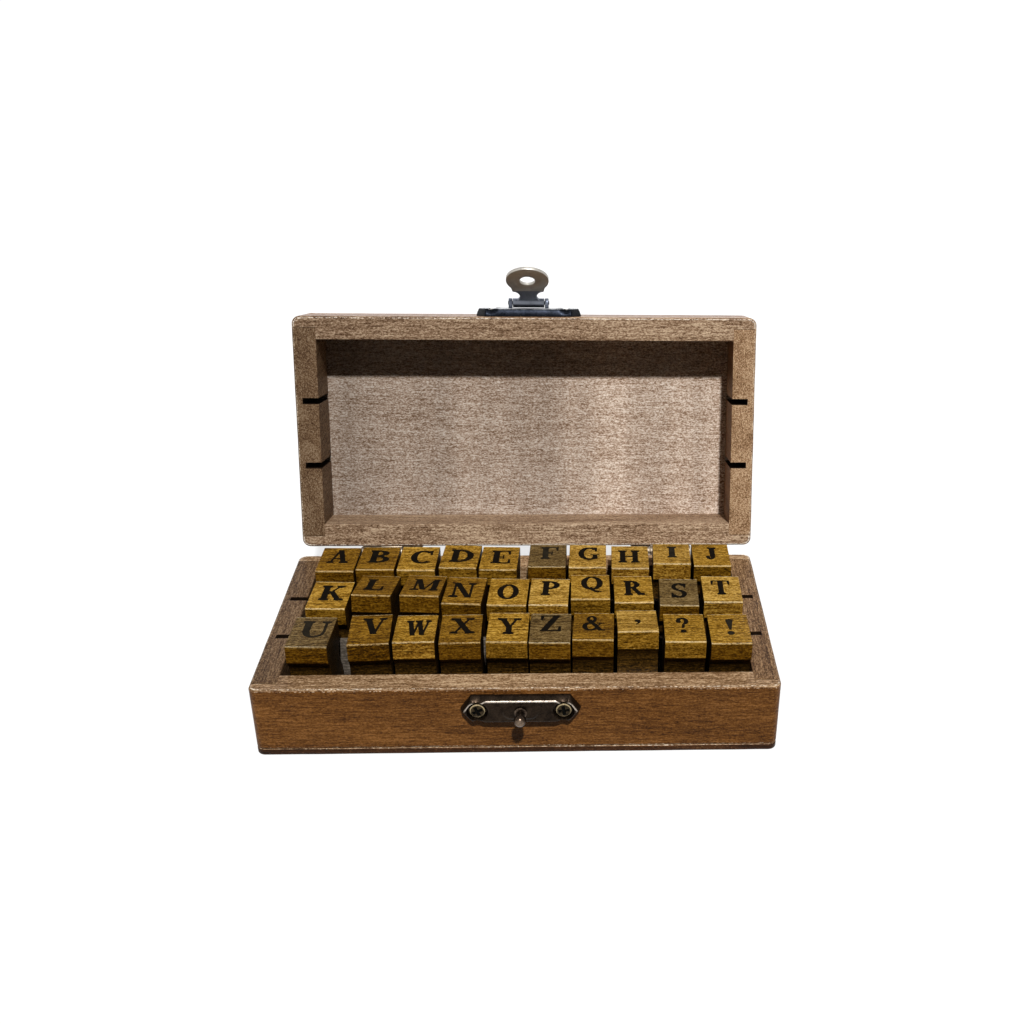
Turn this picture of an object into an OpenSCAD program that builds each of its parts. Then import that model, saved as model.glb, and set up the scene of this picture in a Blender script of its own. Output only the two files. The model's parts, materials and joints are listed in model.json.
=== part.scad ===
// Hinged wooden box with three rows of letter stamps, shown with its lid open.
// X runs to the right, Y to the back, Z up. The origin is the middle of the underside.

/* [Stamps] */
// Stamps in each row
columns = 10; // [4:1:14]
// Width of one stamp
stamp_w = 11.8; // [9:0.1:16]
// Depth of one stamp, front to back
stamp_d = 15.6; // [12:0.1:22]
// Height of one stamp with its cushion and its rubber
stamp_h = 29; // [24:0.5:31]
// Room beside each stamp in its row
stamp_gap = 1.7; // [1:0.1:3]
// Height of the head above the finger grooves
head_h = 5.5; // [3:0.5:7]
// Height of each finger groove
groove_h = 11; // [8:0.5:13]
// Depth of each finger groove
groove_depth = 2.4; // [1:0.1:3.5]
// Thickness of the foam cushion under the wood
foam_t = 3; // [2:0.5:4]
// Thickness of the rubber under the cushion
rubber_t = 1.5; // [1:0.1:2]
// Inset of the cushion and the rubber from the sides of the wood
rubber_inset = 0.3; // [0.1:0.1:1]
// Glue line between the wood, the cushion and the rubber
glue_line = 0.05; // [0.02:0.01:0.1]

/* [Box] */
// Thickness of the four walls
wall_t = 7.5; // [6:0.5:10]
// Height of the base with its bottom panel
base_h = 22.5; // [20:0.5:26]
// Height of the lid with its top panel
lid_h = 19; // [17:0.5:24]
// Thickness of the bottom panel
bottom_t = 2; // [1.5:0.1:3]
// Thickness of the top panel
top_t = 3; // [2:0.1:4]
// Depth that each side wall enters the front and back walls
rabbet = 4; // [2:0.5:5]
// Radius of the four upright corners
corner_r = 2.5; // [1:0.1:3.3]
// Seam between the base and the closed lid
seam = 0.1; // [0.05:0.05:0.3]
// Sideways shift of the lid on its hinges
lid_shift = 0.6; // [0:0.1:1]
// Opening angle at which the lid rests on its stops
lid_open = 106; // [95:1:115]

/* [Dividers] */
// Thickness of the two dividers
divider_t = 1.5; // [1:0.1:1.8]
// Drop of the dividers below the rim
divider_drop = 1; // [0.5:0.5:4]
// Width of the saw kerfs that hold the dividers
kerf_w = 2; // [1.9:0.1:2.4]
// Depth of the saw kerfs in the side walls
kerf_depth = 5.2; // [3:0.1:5.5]
// Gap at the ends of the dividers
divider_end_gap = 0.2; // [0.1:0.1:0.5]
// Free depth in the front and back rows
outer_slack = 3.5; // [3:0.1:5]
// Free depth in the middle row
middle_slack = 4.1; // [3:0.1:5]

/* [Hinges] */
// Distance of each hinge from the middle of the box
hinge_x = 45; // [30:1:50]
// Length of each hinge along its pin
hinge_w = 20; // [16:1:26]
// Height of each hinge leaf from its pin
leaf_h = 11; // [10:0.5:13]
// Thickness of the hinge leaves
leaf_t = 0.9; // [0.6:0.1:1]
// Radius of the hinge knuckles
knuckle_r = 1.8; // [1.6:0.1:2]
// Radius of the hinge pins
hinge_pin_r = 0.8; // [0.6:0.1:1]
// Length of the middle knuckle
mid_knuckle_w = 7; // [5:0.5:8]
// Gap between moving metal parts
metal_gap = 0.2; // [0.15:0.05:0.3]
// Length of the stop tail below the pin
tail_len = 5.5; // [4.5:0.5:7]
// Thickness of the stop tail
tail_t = 0.8; // [0.6:0.1:1]
// Distance between the two screws of a leaf
leaf_screw_span = 13; // [11:0.5:14]
// Radius of the hinge screw heads
leaf_head_r = 1.7; // [1.4:0.1:2]
// Height of the hinge screw heads
leaf_head_h = 1; // [0.8:0.1:1.3]

/* [Latch] */
// Length of the latch plates from tip to tip
plate_w = 34; // [30:0.5:38]
// Length of the straight edges of the latch plates
plate_flat_w = 28; // [25:0.5:29]
// Height of the latch plates
plate_h = 8.6; // [8:0.1:10]
// Rise of the latch plates from the wood
plate_rise = 2.6; // [2:0.1:3]
// Thickness of the sheet that the plates are pressed from
sheet_t = 0.9; // [0.6:0.1:1]
// Distance from the rim to the middle of the catch plate
catch_drop = 6.1; // [5:0.1:7]
// Distance from the rim to the middle of the hasp plate
hasp_rise = 5.8; // [5:0.1:7]
// Sideways place of the catch plate from the middle of the base
catch_x = 0.9; // [0:0.1:2]
// Sideways miss of the hasp from the catch when the lid is closed
hasp_miss = 0.4; // [0:0.1:0.5]
// Distance between the two screws of a plate
plate_screw_span = 24.3; // [23:0.1:25]
// Radius of the plate screw heads
plate_head_r = 2.7; // [2.2:0.1:2.8]
// Height of the plate screw heads
plate_head_h = 1.6; // [1.2:0.1:1.8]
// Depth of the screw seats below the face of the plates
seat_depth = 1.5; // [1:0.1:1.6]
// Radius of the stud's shank
stud_r = 1.3; // [1:0.1:1.5]
// Radius of the stud's ball
ball_r = 1.8; // [1.6:0.1:2]
// Distance from the plate's face to the middle of the ball
ball_reach = 4; // [3.5:0.1:5]
// Width of the flap's knuckle
flap_knuckle_w = 10.2; // [9:0.1:11]
// Radius of the flap's knuckle
flap_knuckle_r = 1.5; // [1.3:0.1:1.6]
// Radius of the flap's pin
flap_pin_r = 0.6; // [0.5:0.05:0.7]
// Thickness of the flap
flap_t = 1; // [0.8:0.1:1.2]
// Length of the flap's neck from the pin to the bend
neck_len = 6; // [5.5:0.1:6.5]
// Width of the neck at its waist
waist_w = 5.4; // [4.5:0.1:6]
// Angle between the neck and the head
neck_bend = 12; // [8:1:13]
// Radius of the flap's round head
head_r = 6.8; // [6:0.1:7.5]
// Distance from the bend to the hole
hole_drop = 6.1; // [6:0.1:6.4]
// Radius of the hole that goes over the stud
flap_hole_r = 2.45; // [2.2:0.05:2.6]
// Swing of the flap from hanging straight to where it stands
flap_swing = 33; // [20:1:60]

/* [Screws] */
// Radius of the hinge screw shanks
leaf_screw_r = 0.8; // [0.6:0.1:1]
// Radius of the plate screw shanks
plate_screw_r = 1.1; // [0.9:0.1:1.2]
// Depth of the screws in the wood
screw_bite = 5; // [3:0.5:5.5]
// Radial room of a screw or a pin in its hole
fit_gap = 0.05; // [0.03:0.01:0.1]
// Width of the cross slots
slot_w = 0.6; // [0.4:0.1:0.8]
// Depth of the cross slots
slot_depth = 0.7; // [0.4:0.1:0.8]

/* [Hidden] */
$fn = 48;
ROWS = [
    ["stamp_a", "stamp_b", "stamp_c", "stamp_d", "stamp_e",
     "stamp_f", "stamp_g", "stamp_h", "stamp_i", "stamp_j"],
    ["stamp_k", "stamp_l", "stamp_m", "stamp_n", "stamp_o",
     "stamp_p", "stamp_q", "stamp_r", "stamp_s", "stamp_t"],
    ["stamp_u", "stamp_v", "stamp_w", "stamp_x", "stamp_y",
     "stamp_z", "stamp_ampersand", "stamp_apostrophe", "stamp_question", "stamp_exclamation"]];
BASE_NODES = ["base_bottom_panel", "base_front_wall", "base_back_wall", "base_left_wall",
              "base_right_wall", "rear_divider", "front_divider", "catch_plate", "catch_stud",
              "catch_plate_screws", "left_hinge_base_leaf", "right_hinge_base_leaf",
              "left_hinge_pin", "right_hinge_pin", "base_hinge_screws"];
LID_NODES = ["lid_top_panel", "lid_front_wall", "lid_back_wall", "lid_left_wall",
             "lid_right_wall", "left_hinge_lid_leaf", "right_hinge_lid_leaf",
             "lid_hinge_screws", "hasp_plate", "hasp_plate_screws", "hasp_pin", "hasp_flap"];

// How each stamp stands: its shift in stamp gaps, its place in the free depth of its row
// from 0 at the front to 1 at the back, its share of the full lean, and its twist in degrees
STANDS = [
    [[1.3, 0.1, 0.2, -1], [0.7, 0, 0.4, -1], [0.2, 0.3, 0.2, -1], [0, 0.7, 0.35, -3],
     [-0.6, 0.1, 0.3, -2], [0.4, 0.6, 0.45, -1], [0, 0.6, 0.35, -1], [0, 0.1, 0.4, -1],
     [-0.1, 0, 1, -2], [-0.5, 0.6, 0.5, -1]],
    [[1.9, 0.2, 0, -2], [1.6, 0.5, 1, -4], [2.1, 1, 0.9, -4], [1.7, 0.9, 0, -4],
     [1.6, 0.6, 0, -2], [1, 0.5, 0.05, -2], [0.4, 1, 0.25, 0], [0.2, 0.9, 0, 0],
     [0.4, 0.4, 0, -2], [0.3, 0.8, 0.05, -1]],
    [[0.8, 0.4, 0, -2], [2.6, 0.8, 0, 3], [2.4, 0.3, 0.35, 1], [2.1, 0.6, 0.15, 1],
     [2.1, 1, 0, -1], [1.4, 0.8, 0, -1], [0.8, 0.6, 0.35, -2], [0.4, 0.5, 1, 0],
     [0.5, 0.4, 0.2, -1], [0.3, 0.5, 0, 0]]];
BACK = 0;
MIDDLE = 1;

// Smallest room between a stamp and what stands round it
stamp_clear = 0.1;
// Amount by which a cutter passes the faces that it cuts
over = 1;

stamp_pitch = stamp_w + stamp_gap;
inner_w = columns * stamp_pitch;
outer_room = stamp_d + outer_slack;
middle_room = stamp_d + middle_slack;
inner_d = 2 * outer_room + middle_room + 2 * divider_t;
box_w = inner_w + 2 * wall_t;
box_d = inner_d + 2 * wall_t;
divider_y = middle_room / 2 + divider_t / 2;
divider_top = base_h - divider_drop;

hinge_y = box_d / 2 + knuckle_r + metal_gap;
hinge_z = base_h;
leaf_edge = knuckle_r + metal_gap;
leaf_screw_z = (leaf_edge + leaf_h) / 2;
catch_z = base_h - catch_drop;
hasp_x = catch_x + hasp_miss;
hasp_z = base_h + seam + hasp_rise;
lid_rim_z = base_h + seam;
lid_panel_z = lid_rim_z + lid_h - top_t;
flap_pin_out = plate_rise + flap_knuckle_r + metal_gap;
lug_w = 1.2;
tail_inset = 0.5;
cove_shoulder = 0.4;
bend_lap = 0.3;
cheek = 0.6;
neck_inset = 0.1;
lug_x = flap_knuckle_w / 2 + metal_gap;
neck_x = flap_knuckle_w / 2 - neck_inset;
rivet_flare = 0.6;
rivet_r = stud_r + rivet_flare;
rivet_h = 0.5;
collar_rim = 0.5;
collar_r = stud_r + collar_rim;
collar_h = 0.6;
boss_w = 10.2;
boss_h = 5;
boss_rise = 0.25;
// Length of a cross slot as a share of its screw head
slot_share = 0.6;
block_h = stamp_h - foam_t - rubber_t;
groove_z = stamp_h - head_h - groove_h / 2;
groove_r = (pow(groove_h / 2, 2) + pow(groove_depth, 2)) / (2 * groove_depth);

wood = "#8a5c38";
pale_wood = "#b08a68";
stained_wood = "#9a6c28";
dark_metal = "#4a463f";
foam_black = "#26262a";
rubber_grey = "#5a5552";

// Outline of the box, with its upright corners rounded
module box_outline() {
    square([box_w - 2 * corner_r, box_d], center = true);
    square([box_w, box_d - 2 * corner_r], center = true);
    for (sx = [-1, 1], sy = [-1, 1]) {
        translate([sx * (box_w / 2 - corner_r), sy * (box_d / 2 - corner_r)]) circle(corner_r);
    }
}

module panel(z, t) {
    translate([0, 0, z]) linear_extrude(t) box_outline();
}

// A long wall at the front (side -1) or at the back (side 1), from height z and h tall
module long_wall(side, z, h) {
    intersection() {
        panel(z, h);
        difference() {
            translate([-box_w / 2, side * (box_d / 2 - wall_t / 2) - wall_t / 2, z])
                cube([box_w, wall_t, h]);
            for (sx = [-1, 1]) {
                translate([sx * (box_w / 2 - wall_t / 2) - (wall_t + over) / 2 + sx * over / 2,
                           side * (box_d / 2 - wall_t + rabbet / 2 - over / 2)
                               - (rabbet + over) / 2, z - over])
                    cube([wall_t + over, rabbet + over, h + 2 * over]);
            }
        }
    }
}

// A side wall on the left (side -1) or on the right (side 1), with its two saw kerfs
module side_wall(side, z, h) {
    wall_len = inner_d + 2 * rabbet;
    difference() {
        translate([side * (box_w / 2 - wall_t / 2) - wall_t / 2, -wall_len / 2, z])
            cube([wall_t, wall_len, h]);
        for (sy = [-1, 1]) {
            translate([side * (inner_w / 2 + (kerf_depth - over) / 2)
                           - (kerf_depth + over) / 2,
                       sy * divider_y - kerf_w / 2, z - over])
                cube([kerf_depth + over, kerf_w, h + 2 * over]);
        }
    }
}

module divider(side) {
    w = inner_w + 2 * (kerf_depth - divider_end_gap);
    color(pale_wood)
        translate([-w / 2, side * divider_y - divider_t / 2, bottom_t])
            cube([w, divider_t, divider_top - bottom_t]);
}

// Holes for screws that enter the wood from its outer face, pointing along side * Y
module screw_bores(side, xs, z, r) {
    for (x = xs) {
        translate([x, side * box_d / 2, z]) rotate([side * 90, 0, 0])
            translate([0, 0, -over]) cylinder(r = r + fit_gap, h = screw_bite + fit_gap + over);
    }
}

function leaf_screw_xs() = [for (s = [-1, 1], t = [-1, 1]) s * hinge_x + t * leaf_screw_span / 2];
function plate_screw_xs(x) = [for (t = [-1, 1]) x + t * plate_screw_span / 2];

// Turns a lid piece from its closed place to its open place
module open_lid() {
    translate([0, hinge_y, hinge_z]) rotate([-lid_open, 0, 0])
        translate([0, -hinge_y, -hinge_z]) children();
}

module base_bottom_panel() {
    color(wood) panel(0, bottom_t);
}

module base_front_wall() {
    color(wood) difference() {
        long_wall(-1, bottom_t, base_h - bottom_t);
        screw_bores(-1, plate_screw_xs(catch_x), catch_z, plate_screw_r);
    }
}

module base_back_wall() {
    color(wood) difference() {
        long_wall(1, bottom_t, base_h - bottom_t);
        screw_bores(1, leaf_screw_xs(), hinge_z - leaf_screw_z, leaf_screw_r);
    }
}

module base_side_wall(side) {
    color(wood) side_wall(side, bottom_t, base_h - bottom_t);
}

module lid_top_panel() {
    color(pale_wood) open_lid() translate([lid_shift, 0, 0]) panel(lid_panel_z, top_t);
}

module lid_front_wall() {
    color(wood) open_lid() difference() {
        translate([lid_shift, 0, 0]) long_wall(-1, lid_rim_z, lid_h - top_t);
        screw_bores(-1, plate_screw_xs(hasp_x), hasp_z, plate_screw_r);
    }
}

module lid_back_wall() {
    color(wood) open_lid() difference() {
        translate([lid_shift, 0, 0]) long_wall(1, lid_rim_z, lid_h - top_t);
        screw_bores(1, leaf_screw_xs(), hinge_z + leaf_screw_z, leaf_screw_r);
    }
}

module lid_side_wall(side) {
    color(wood) open_lid() translate([lid_shift, 0, 0])
        side_wall(side, lid_rim_z, lid_h - top_t);
}

// Tube round the hinge axis from x0 to x1
module hinge_knuckle(x0, x1) {
    translate([x0, hinge_y, hinge_z]) rotate([0, 90, 0]) cylinder(r = knuckle_r, h = x1 - x0);
}

module hinge_bore(x) {
    translate([x - hinge_w / 2 - over, hinge_y, hinge_z]) rotate([0, 90, 0])
        cylinder(r = hinge_pin_r + fit_gap, h = hinge_w + 2 * over);
}

// Plate of a leaf on the back face, from the pin downwards (side -1) or upwards (side 1)
module leaf_plate(x, side) {
    plate_len = leaf_h - leaf_edge;
    difference() {
        translate([x - hinge_w / 2, box_d / 2, hinge_z + side * (leaf_edge + plate_len / 2)
                       - plate_len / 2])
            cube([hinge_w, leaf_t, plate_len]);
        for (t = [-1, 1]) {
            translate([x + t * leaf_screw_span / 2, box_d / 2 - over,
                       hinge_z + side * leaf_screw_z])
                rotate([-90, 0, 0]) cylinder(r = leaf_screw_r + fit_gap, h = leaf_t + 2 * over);
        }
    }
}

// Web that joins a leaf plate to its knuckle between x0 and x1
module leaf_web(x0, x1, side) {
    translate([x0, box_d / 2, hinge_z + (side < 0 ? -leaf_edge : 0)])
        cube([x1 - x0, leaf_t, leaf_edge]);
}

module hinge_base_leaf(x) {
    color(dark_metal) difference() {
        union() {
            leaf_plate(x, -1);
            for (s = [-1, 1]) {
                a = x + s * (mid_knuckle_w / 2 + metal_gap);
                b = x + s * hinge_w / 2;
                hinge_knuckle(min(a, b), max(a, b));
                leaf_web(min(a, b), max(a, b), -1);
            }
        }
        hinge_bore(x);
    }
}

module hinge_lid_leaf(x) {
    color(dark_metal) difference() {
        union() {
            open_lid() {
                leaf_plate(x, 1);
                hinge_knuckle(x - mid_knuckle_w / 2, x + mid_knuckle_w / 2);
                leaf_web(x - mid_knuckle_w / 2, x + mid_knuckle_w / 2, 1);
            }
            translate([x - mid_knuckle_w / 2 + tail_inset, box_d / 2 + leaf_t + fit_gap,
                       hinge_z - tail_len])
                cube([mid_knuckle_w - 2 * tail_inset, tail_t, tail_len - hinge_pin_r / 2]);
        }
        hinge_bore(x);
    }
}

module hinge_pin(x) {
    color(dark_metal) translate([x - hinge_w / 2, hinge_y, hinge_z]) rotate([0, 90, 0])
        cylinder(r = hinge_pin_r, h = hinge_w);
}

// A screw along +Z: its shank below zero, its domed head with a cross slot above
module screw(shank_r, shank_len, head_radius, head_height) {
    dome_r = (pow(head_radius, 2) + pow(head_height, 2)) / (2 * head_height);
    difference() {
        union() {
            translate([0, 0, -shank_len]) cylinder(r = shank_r, h = shank_len + over / 2);
            intersection() {
                cylinder(r = head_radius, h = head_height);
                translate([0, 0, head_height - dome_r]) sphere(dome_r, $fn = 64);
            }
        }
        for (a = [45, 135]) {
            rotate([0, 0, a])
                translate([-head_radius * slot_share, -slot_w / 2, head_height - slot_depth])
                    cube([2 * head_radius * slot_share, slot_w, slot_depth + over]);
        }
    }
}

module base_hinge_screws() {
    color(dark_metal) for (x = leaf_screw_xs()) {
        translate([x, box_d / 2 + leaf_t, hinge_z - leaf_screw_z]) rotate([-90, 0, 0])
            screw(leaf_screw_r, leaf_t + screw_bite, leaf_head_r, leaf_head_h);
    }
}

module lid_hinge_screws() {
    color(dark_metal) open_lid() for (x = leaf_screw_xs()) {
        translate([x, box_d / 2 + leaf_t, hinge_z + leaf_screw_z]) rotate([-90, 0, 0])
            screw(leaf_screw_r, leaf_t + screw_bite, leaf_head_r, leaf_head_h);
    }
}

// Outline of a latch plate, drawn inset by d
module plate_outline(d) {
    polygon([[-plate_w / 2 + 2 * d, 0], [-plate_flat_w / 2 + d / 2, plate_h / 2 - d],
             [plate_flat_w / 2 - d / 2, plate_h / 2 - d], [plate_w / 2 - 2 * d, 0],
             [plate_flat_w / 2 - d / 2, -plate_h / 2 + d],
             [-plate_flat_w / 2 + d / 2, -plate_h / 2 + d]]);
}

// A pressed plate that lies on z = 0 with its face up, hollow behind, with two screw seats
module latch_plate() {
    seat_r = plate_head_r + metal_gap;
    difference() {
        union() {
            difference() {
                linear_extrude(plate_rise) plate_outline(0);
                translate([0, 0, -over])
                    linear_extrude(plate_rise - sheet_t + over) plate_outline(sheet_t);
            }
            intersection() {
                linear_extrude(plate_rise) plate_outline(0);
                for (t = [-1, 1]) {
                    translate([t * plate_screw_span / 2, 0, 0])
                        cylinder(r = seat_r + sheet_t, h = plate_rise);
                }
            }
        }
        for (t = [-1, 1]) {
            translate([t * plate_screw_span / 2, 0, plate_rise - seat_depth])
                cylinder(r = seat_r, h = seat_depth + over);
            translate([t * plate_screw_span / 2, 0, -over])
                cylinder(r = plate_screw_r + fit_gap, h = plate_rise + over);
        }
    }
}

// Places a latch piece, drawn with its face up, on the front face at height z
module on_front(x, z) {
    translate([x, -box_d / 2, z]) rotate([90, 0, 0]) children();
}

module catch_plate() {
    color(dark_metal) on_front(catch_x, catch_z) difference() {
        union() {
            latch_plate();
            translate([0, 0, plate_rise - sheet_t]) linear_extrude(sheet_t + boss_rise) {
                square([boss_w - boss_h, boss_h], center = true);
                for (s = [-1, 1]) {
                    translate([s * (boss_w - boss_h) / 2, 0]) circle(boss_h / 2);
                }
            }
        }
        cylinder(r = stud_r + fit_gap, h = plate_rise + over);
    }
}

module catch_stud() {
    face = plate_rise + boss_rise;
    color(dark_metal) on_front(catch_x, catch_z) {
        translate([0, 0, plate_rise - sheet_t - rivet_h]) cylinder(r = rivet_r, h = rivet_h);
        translate([0, 0, plate_rise - sheet_t - rivet_h])
            cylinder(r = stud_r, h = rivet_h + sheet_t + ball_reach);
        translate([0, 0, face]) cylinder(r = collar_r, h = collar_h);
        translate([0, 0, plate_rise + ball_reach]) sphere(ball_r);
    }
}

// The two screws of a latch plate, drawn with the plate's face up
module plate_screws() {
    for (t = [-1, 1]) {
        translate([t * plate_screw_span / 2, 0, plate_rise - seat_depth])
            screw(plate_screw_r, plate_rise - seat_depth + screw_bite, plate_head_r, plate_head_h);
    }
}

module catch_plate_screws() {
    color(dark_metal) on_front(catch_x, catch_z) plate_screws();
}

// Places a piece of the hasp, drawn with the plate's face up, on the open lid
module on_lid_front() {
    open_lid() on_front(hasp_x, hasp_z) children();
}

module hasp_plate() {
    lug_h = flap_pin_out - plate_rise;
    color(dark_metal) on_lid_front() difference() {
        union() {
            latch_plate();
            for (s = [-1, 1]) {
                translate([s * (lug_x + lug_w / 2) - lug_w / 2, 0, 0]) {
                    translate([0, -flap_knuckle_r, plate_rise - sheet_t])
                        cube([lug_w, 2 * flap_knuckle_r, lug_h + sheet_t]);
                    translate([0, 0, flap_pin_out]) rotate([0, 90, 0])
                        cylinder(r = flap_knuckle_r, h = lug_w);
                }
            }
        }
        translate([-lug_x - lug_w - over, 0, flap_pin_out]) rotate([0, 90, 0])
            cylinder(r = flap_pin_r + fit_gap, h = 2 * (lug_x + lug_w + over));
    }
}

module hasp_plate_screws() {
    color(dark_metal) on_lid_front() plate_screws();
}

module hasp_pin() {
    pin_len = 2 * (lug_x + lug_w + metal_gap);
    color(dark_metal) on_lid_front()
        translate([-pin_len / 2, 0, flap_pin_out]) rotate([0, 90, 0])
            cylinder(r = flap_pin_r, h = pin_len);
}

// Flat outline of the neck, from the pin at y = 0 down to the bend
module neck_outline() {
    cove_r = neck_x - waist_w / 2;
    cove_y = -neck_len + cove_shoulder + cove_r;
    difference() {
        translate([-neck_x, -neck_len - bend_lap]) square([2 * neck_x, neck_len + bend_lap]);
        for (s = [-1, 1]) translate([s * neck_x, cove_y]) circle(cove_r);
    }
}

// Flat outline of the head, from the bend at y = 0 down to its tip
module head_outline() {
    difference() {
        union() {
            translate([0, -hole_drop]) circle(head_r);
            polygon([[-neck_x, bend_lap], [neck_x, bend_lap],
                     [head_r - cheek, -hole_drop], [-head_r + cheek, -hole_drop]]);
        }
        translate([0, -hole_drop]) circle(flap_hole_r);
    }
}

module hasp_flap() {
    bend_out = neck_len * sin(neck_bend);
    bend_down = neck_len * cos(neck_bend);
    color(dark_metal) on_lid_front() translate([0, 0, flap_pin_out]) rotate([-flap_swing, 0, 0])
        difference() {
            union() {
                translate([-flap_knuckle_w / 2, 0, 0]) rotate([0, 90, 0])
                    cylinder(r = flap_knuckle_r, h = flap_knuckle_w);
                rotate([-neck_bend, 0, 0]) translate([0, 0, -flap_t / 2])
                    linear_extrude(flap_t) neck_outline();
                translate([0, -bend_down, bend_out - flap_t / 2])
                    linear_extrude(flap_t) head_outline();
            }
            translate([-flap_knuckle_w / 2 - over, 0, 0]) rotate([0, 90, 0])
                cylinder(r = flap_pin_r + fit_gap, h = flap_knuckle_w + 2 * over);
        }
}

// One stamp that stands on z = 0: rubber, cushion and grooved block as three solids
module stamp_body() {
    color(rubber_grey) translate([-stamp_w / 2 + rubber_inset, -stamp_d / 2 + rubber_inset, 0])
        cube([stamp_w - 2 * rubber_inset, stamp_d - 2 * rubber_inset, rubber_t - glue_line]);
    color(foam_black)
        translate([-stamp_w / 2 + rubber_inset, -stamp_d / 2 + rubber_inset, rubber_t])
            cube([stamp_w - 2 * rubber_inset, stamp_d - 2 * rubber_inset, foam_t - glue_line]);
    color(stained_wood) difference() {
        translate([-stamp_w / 2, -stamp_d / 2, foam_t + rubber_t])
            cube([stamp_w, stamp_d, block_h]);
        for (s = [-1, 1]) {
            translate([-stamp_w / 2 - over, s * (stamp_d / 2 - groove_depth + groove_r), groove_z])
                rotate([0, 90, 0]) cylinder(r = groove_r, h = stamp_w + 2 * over, $fn = 96);
        }
    }
}

function row_room(row) = row == MIDDLE ? middle_room : outer_room;
function row_front(row) = row == BACK ? divider_y + divider_t / 2
                        : row == MIDDLE ? -middle_room / 2 : -inner_d / 2;
// Height at which a leaning stamp meets what is behind it
function rest_height(row) = row == BACK ? stamp_h : divider_top - bottom_t;
// Depth that a twisted stamp's corners add to it
function twist_depth(row, i) = stamp_w * sin(abs(STANDS[row][i][3]));
// Lean at which a stamp fills its row from its front foot to what is behind it
function full_lean(row, i) =
    atan((row_room(row) - 2 * stamp_clear - stamp_d - twist_depth(row, i)) / rest_height(row));
function lean_of(row, i) = STANDS[row][i][2] * full_lean(row, i);
function foot_depth(row, i) = stamp_d * cos(lean_of(row, i)) + twist_depth(row, i);
function free_depth(row, i) =
    row_room(row) - 2 * stamp_clear - foot_depth(row, i)
    - rest_height(row) * tan(lean_of(row, i));

module stamp(row, i) {
    column = i % len(STANDS[row]);
    x = (column - (columns - 1) / 2) * stamp_pitch + STANDS[row][column][0] * stamp_gap;
    y = row_front(row) + stamp_clear + STANDS[row][column][1] * free_depth(row, column)
        + foot_depth(row, column) / 2;
    lean = lean_of(row, column);
    translate([x, y, bottom_t + stamp_d / 2 * sin(lean)])
        rotate([-lean, 0, STANDS[row][column][3]]) stamp_body();
}

base_bottom_panel();
base_front_wall();
base_back_wall();
base_side_wall(-1);  // base_left_wall
base_side_wall(1);  // base_right_wall
divider(1);  // rear_divider
divider(-1);  // front_divider
catch_plate();
catch_stud();
catch_plate_screws();
hinge_base_leaf(-hinge_x);  // left_hinge_base_leaf
hinge_base_leaf(hinge_x);  // right_hinge_base_leaf
hinge_pin(-hinge_x);  // left_hinge_pin
hinge_pin(hinge_x);  // right_hinge_pin
base_hinge_screws();
lid_top_panel();
lid_front_wall();
lid_back_wall();
lid_side_wall(-1);  // lid_left_wall
lid_side_wall(1);  // lid_right_wall
hinge_lid_leaf(-hinge_x);  // left_hinge_lid_leaf
hinge_lid_leaf(hinge_x);  // right_hinge_lid_leaf
lid_hinge_screws();
hasp_plate();
hasp_plate_screws();
hasp_pin();
hasp_flap();
for (row = [0 : len(ROWS) - 1], i = [0 : len(ROWS[row]) - 1]) {
    stamp(row, i);
}
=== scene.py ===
import json
import math

import bmesh
import bpy
from mathutils import Matrix, Vector, noise
from mathutils.geometry import delaunay_2d_cdt

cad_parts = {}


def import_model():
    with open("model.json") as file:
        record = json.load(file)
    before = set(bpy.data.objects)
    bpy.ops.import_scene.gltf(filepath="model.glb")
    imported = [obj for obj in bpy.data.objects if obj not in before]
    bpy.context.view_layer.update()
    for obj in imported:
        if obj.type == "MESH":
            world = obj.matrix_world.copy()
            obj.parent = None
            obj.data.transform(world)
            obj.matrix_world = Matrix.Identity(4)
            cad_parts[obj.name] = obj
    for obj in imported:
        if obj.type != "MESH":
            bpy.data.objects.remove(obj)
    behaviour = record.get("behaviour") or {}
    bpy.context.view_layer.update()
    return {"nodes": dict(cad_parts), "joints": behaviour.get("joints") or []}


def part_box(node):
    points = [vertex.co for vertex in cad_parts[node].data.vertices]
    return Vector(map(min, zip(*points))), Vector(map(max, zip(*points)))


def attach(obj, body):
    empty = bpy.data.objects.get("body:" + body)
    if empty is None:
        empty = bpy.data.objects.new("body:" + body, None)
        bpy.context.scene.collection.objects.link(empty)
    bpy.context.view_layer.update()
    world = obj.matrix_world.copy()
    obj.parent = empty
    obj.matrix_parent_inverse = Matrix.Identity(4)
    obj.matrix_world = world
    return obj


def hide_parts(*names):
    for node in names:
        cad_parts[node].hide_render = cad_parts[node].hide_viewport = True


# A hinged wooden box of letter stamps, open, on a pale floor.
# Lengths are in metres; sizes written as a number times MM are in millimetres.
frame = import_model()
MM = 0.001

# The waver of worn edges and of the ink is the same in every run
WAVER_SEED = 7
noise.seed_set(WAVER_SEED)

joints = {joint["name"]: joint for joint in frame["joints"]}
STAMPS = sorted(node for node in frame["nodes"] if node.startswith("stamp_"))
SIDES = ((-1, "left"), (1, "right"))

# The lid's hinge line and how far the lid is open at rest
HINGE = Vector(joints["lid_hinge"]["pos_m"])
LID_OPEN = math.radians(-joints["lid_hinge"]["range_deg"][0])
CLOSED = Matrix.Identity(4)
OPENED = (Matrix.Translation(HINGE) @ Matrix.Rotation(-LID_OPEN, 4, "X")
          @ Matrix.Translation(-HINGE))

# Boards of the base and the lid
RABBET = 4 * MM
CORNER = 2.5 * MM
KERF_WIDTH = 2 * MM
KERF_DEPTH = 5.2 * MM
RIM_EASE = 0.6 * MM
JOINT_EASE = 0.25 * MM
PANEL_EASE = 0.3 * MM
DIVIDER_EASE = 0.2 * MM
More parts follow.
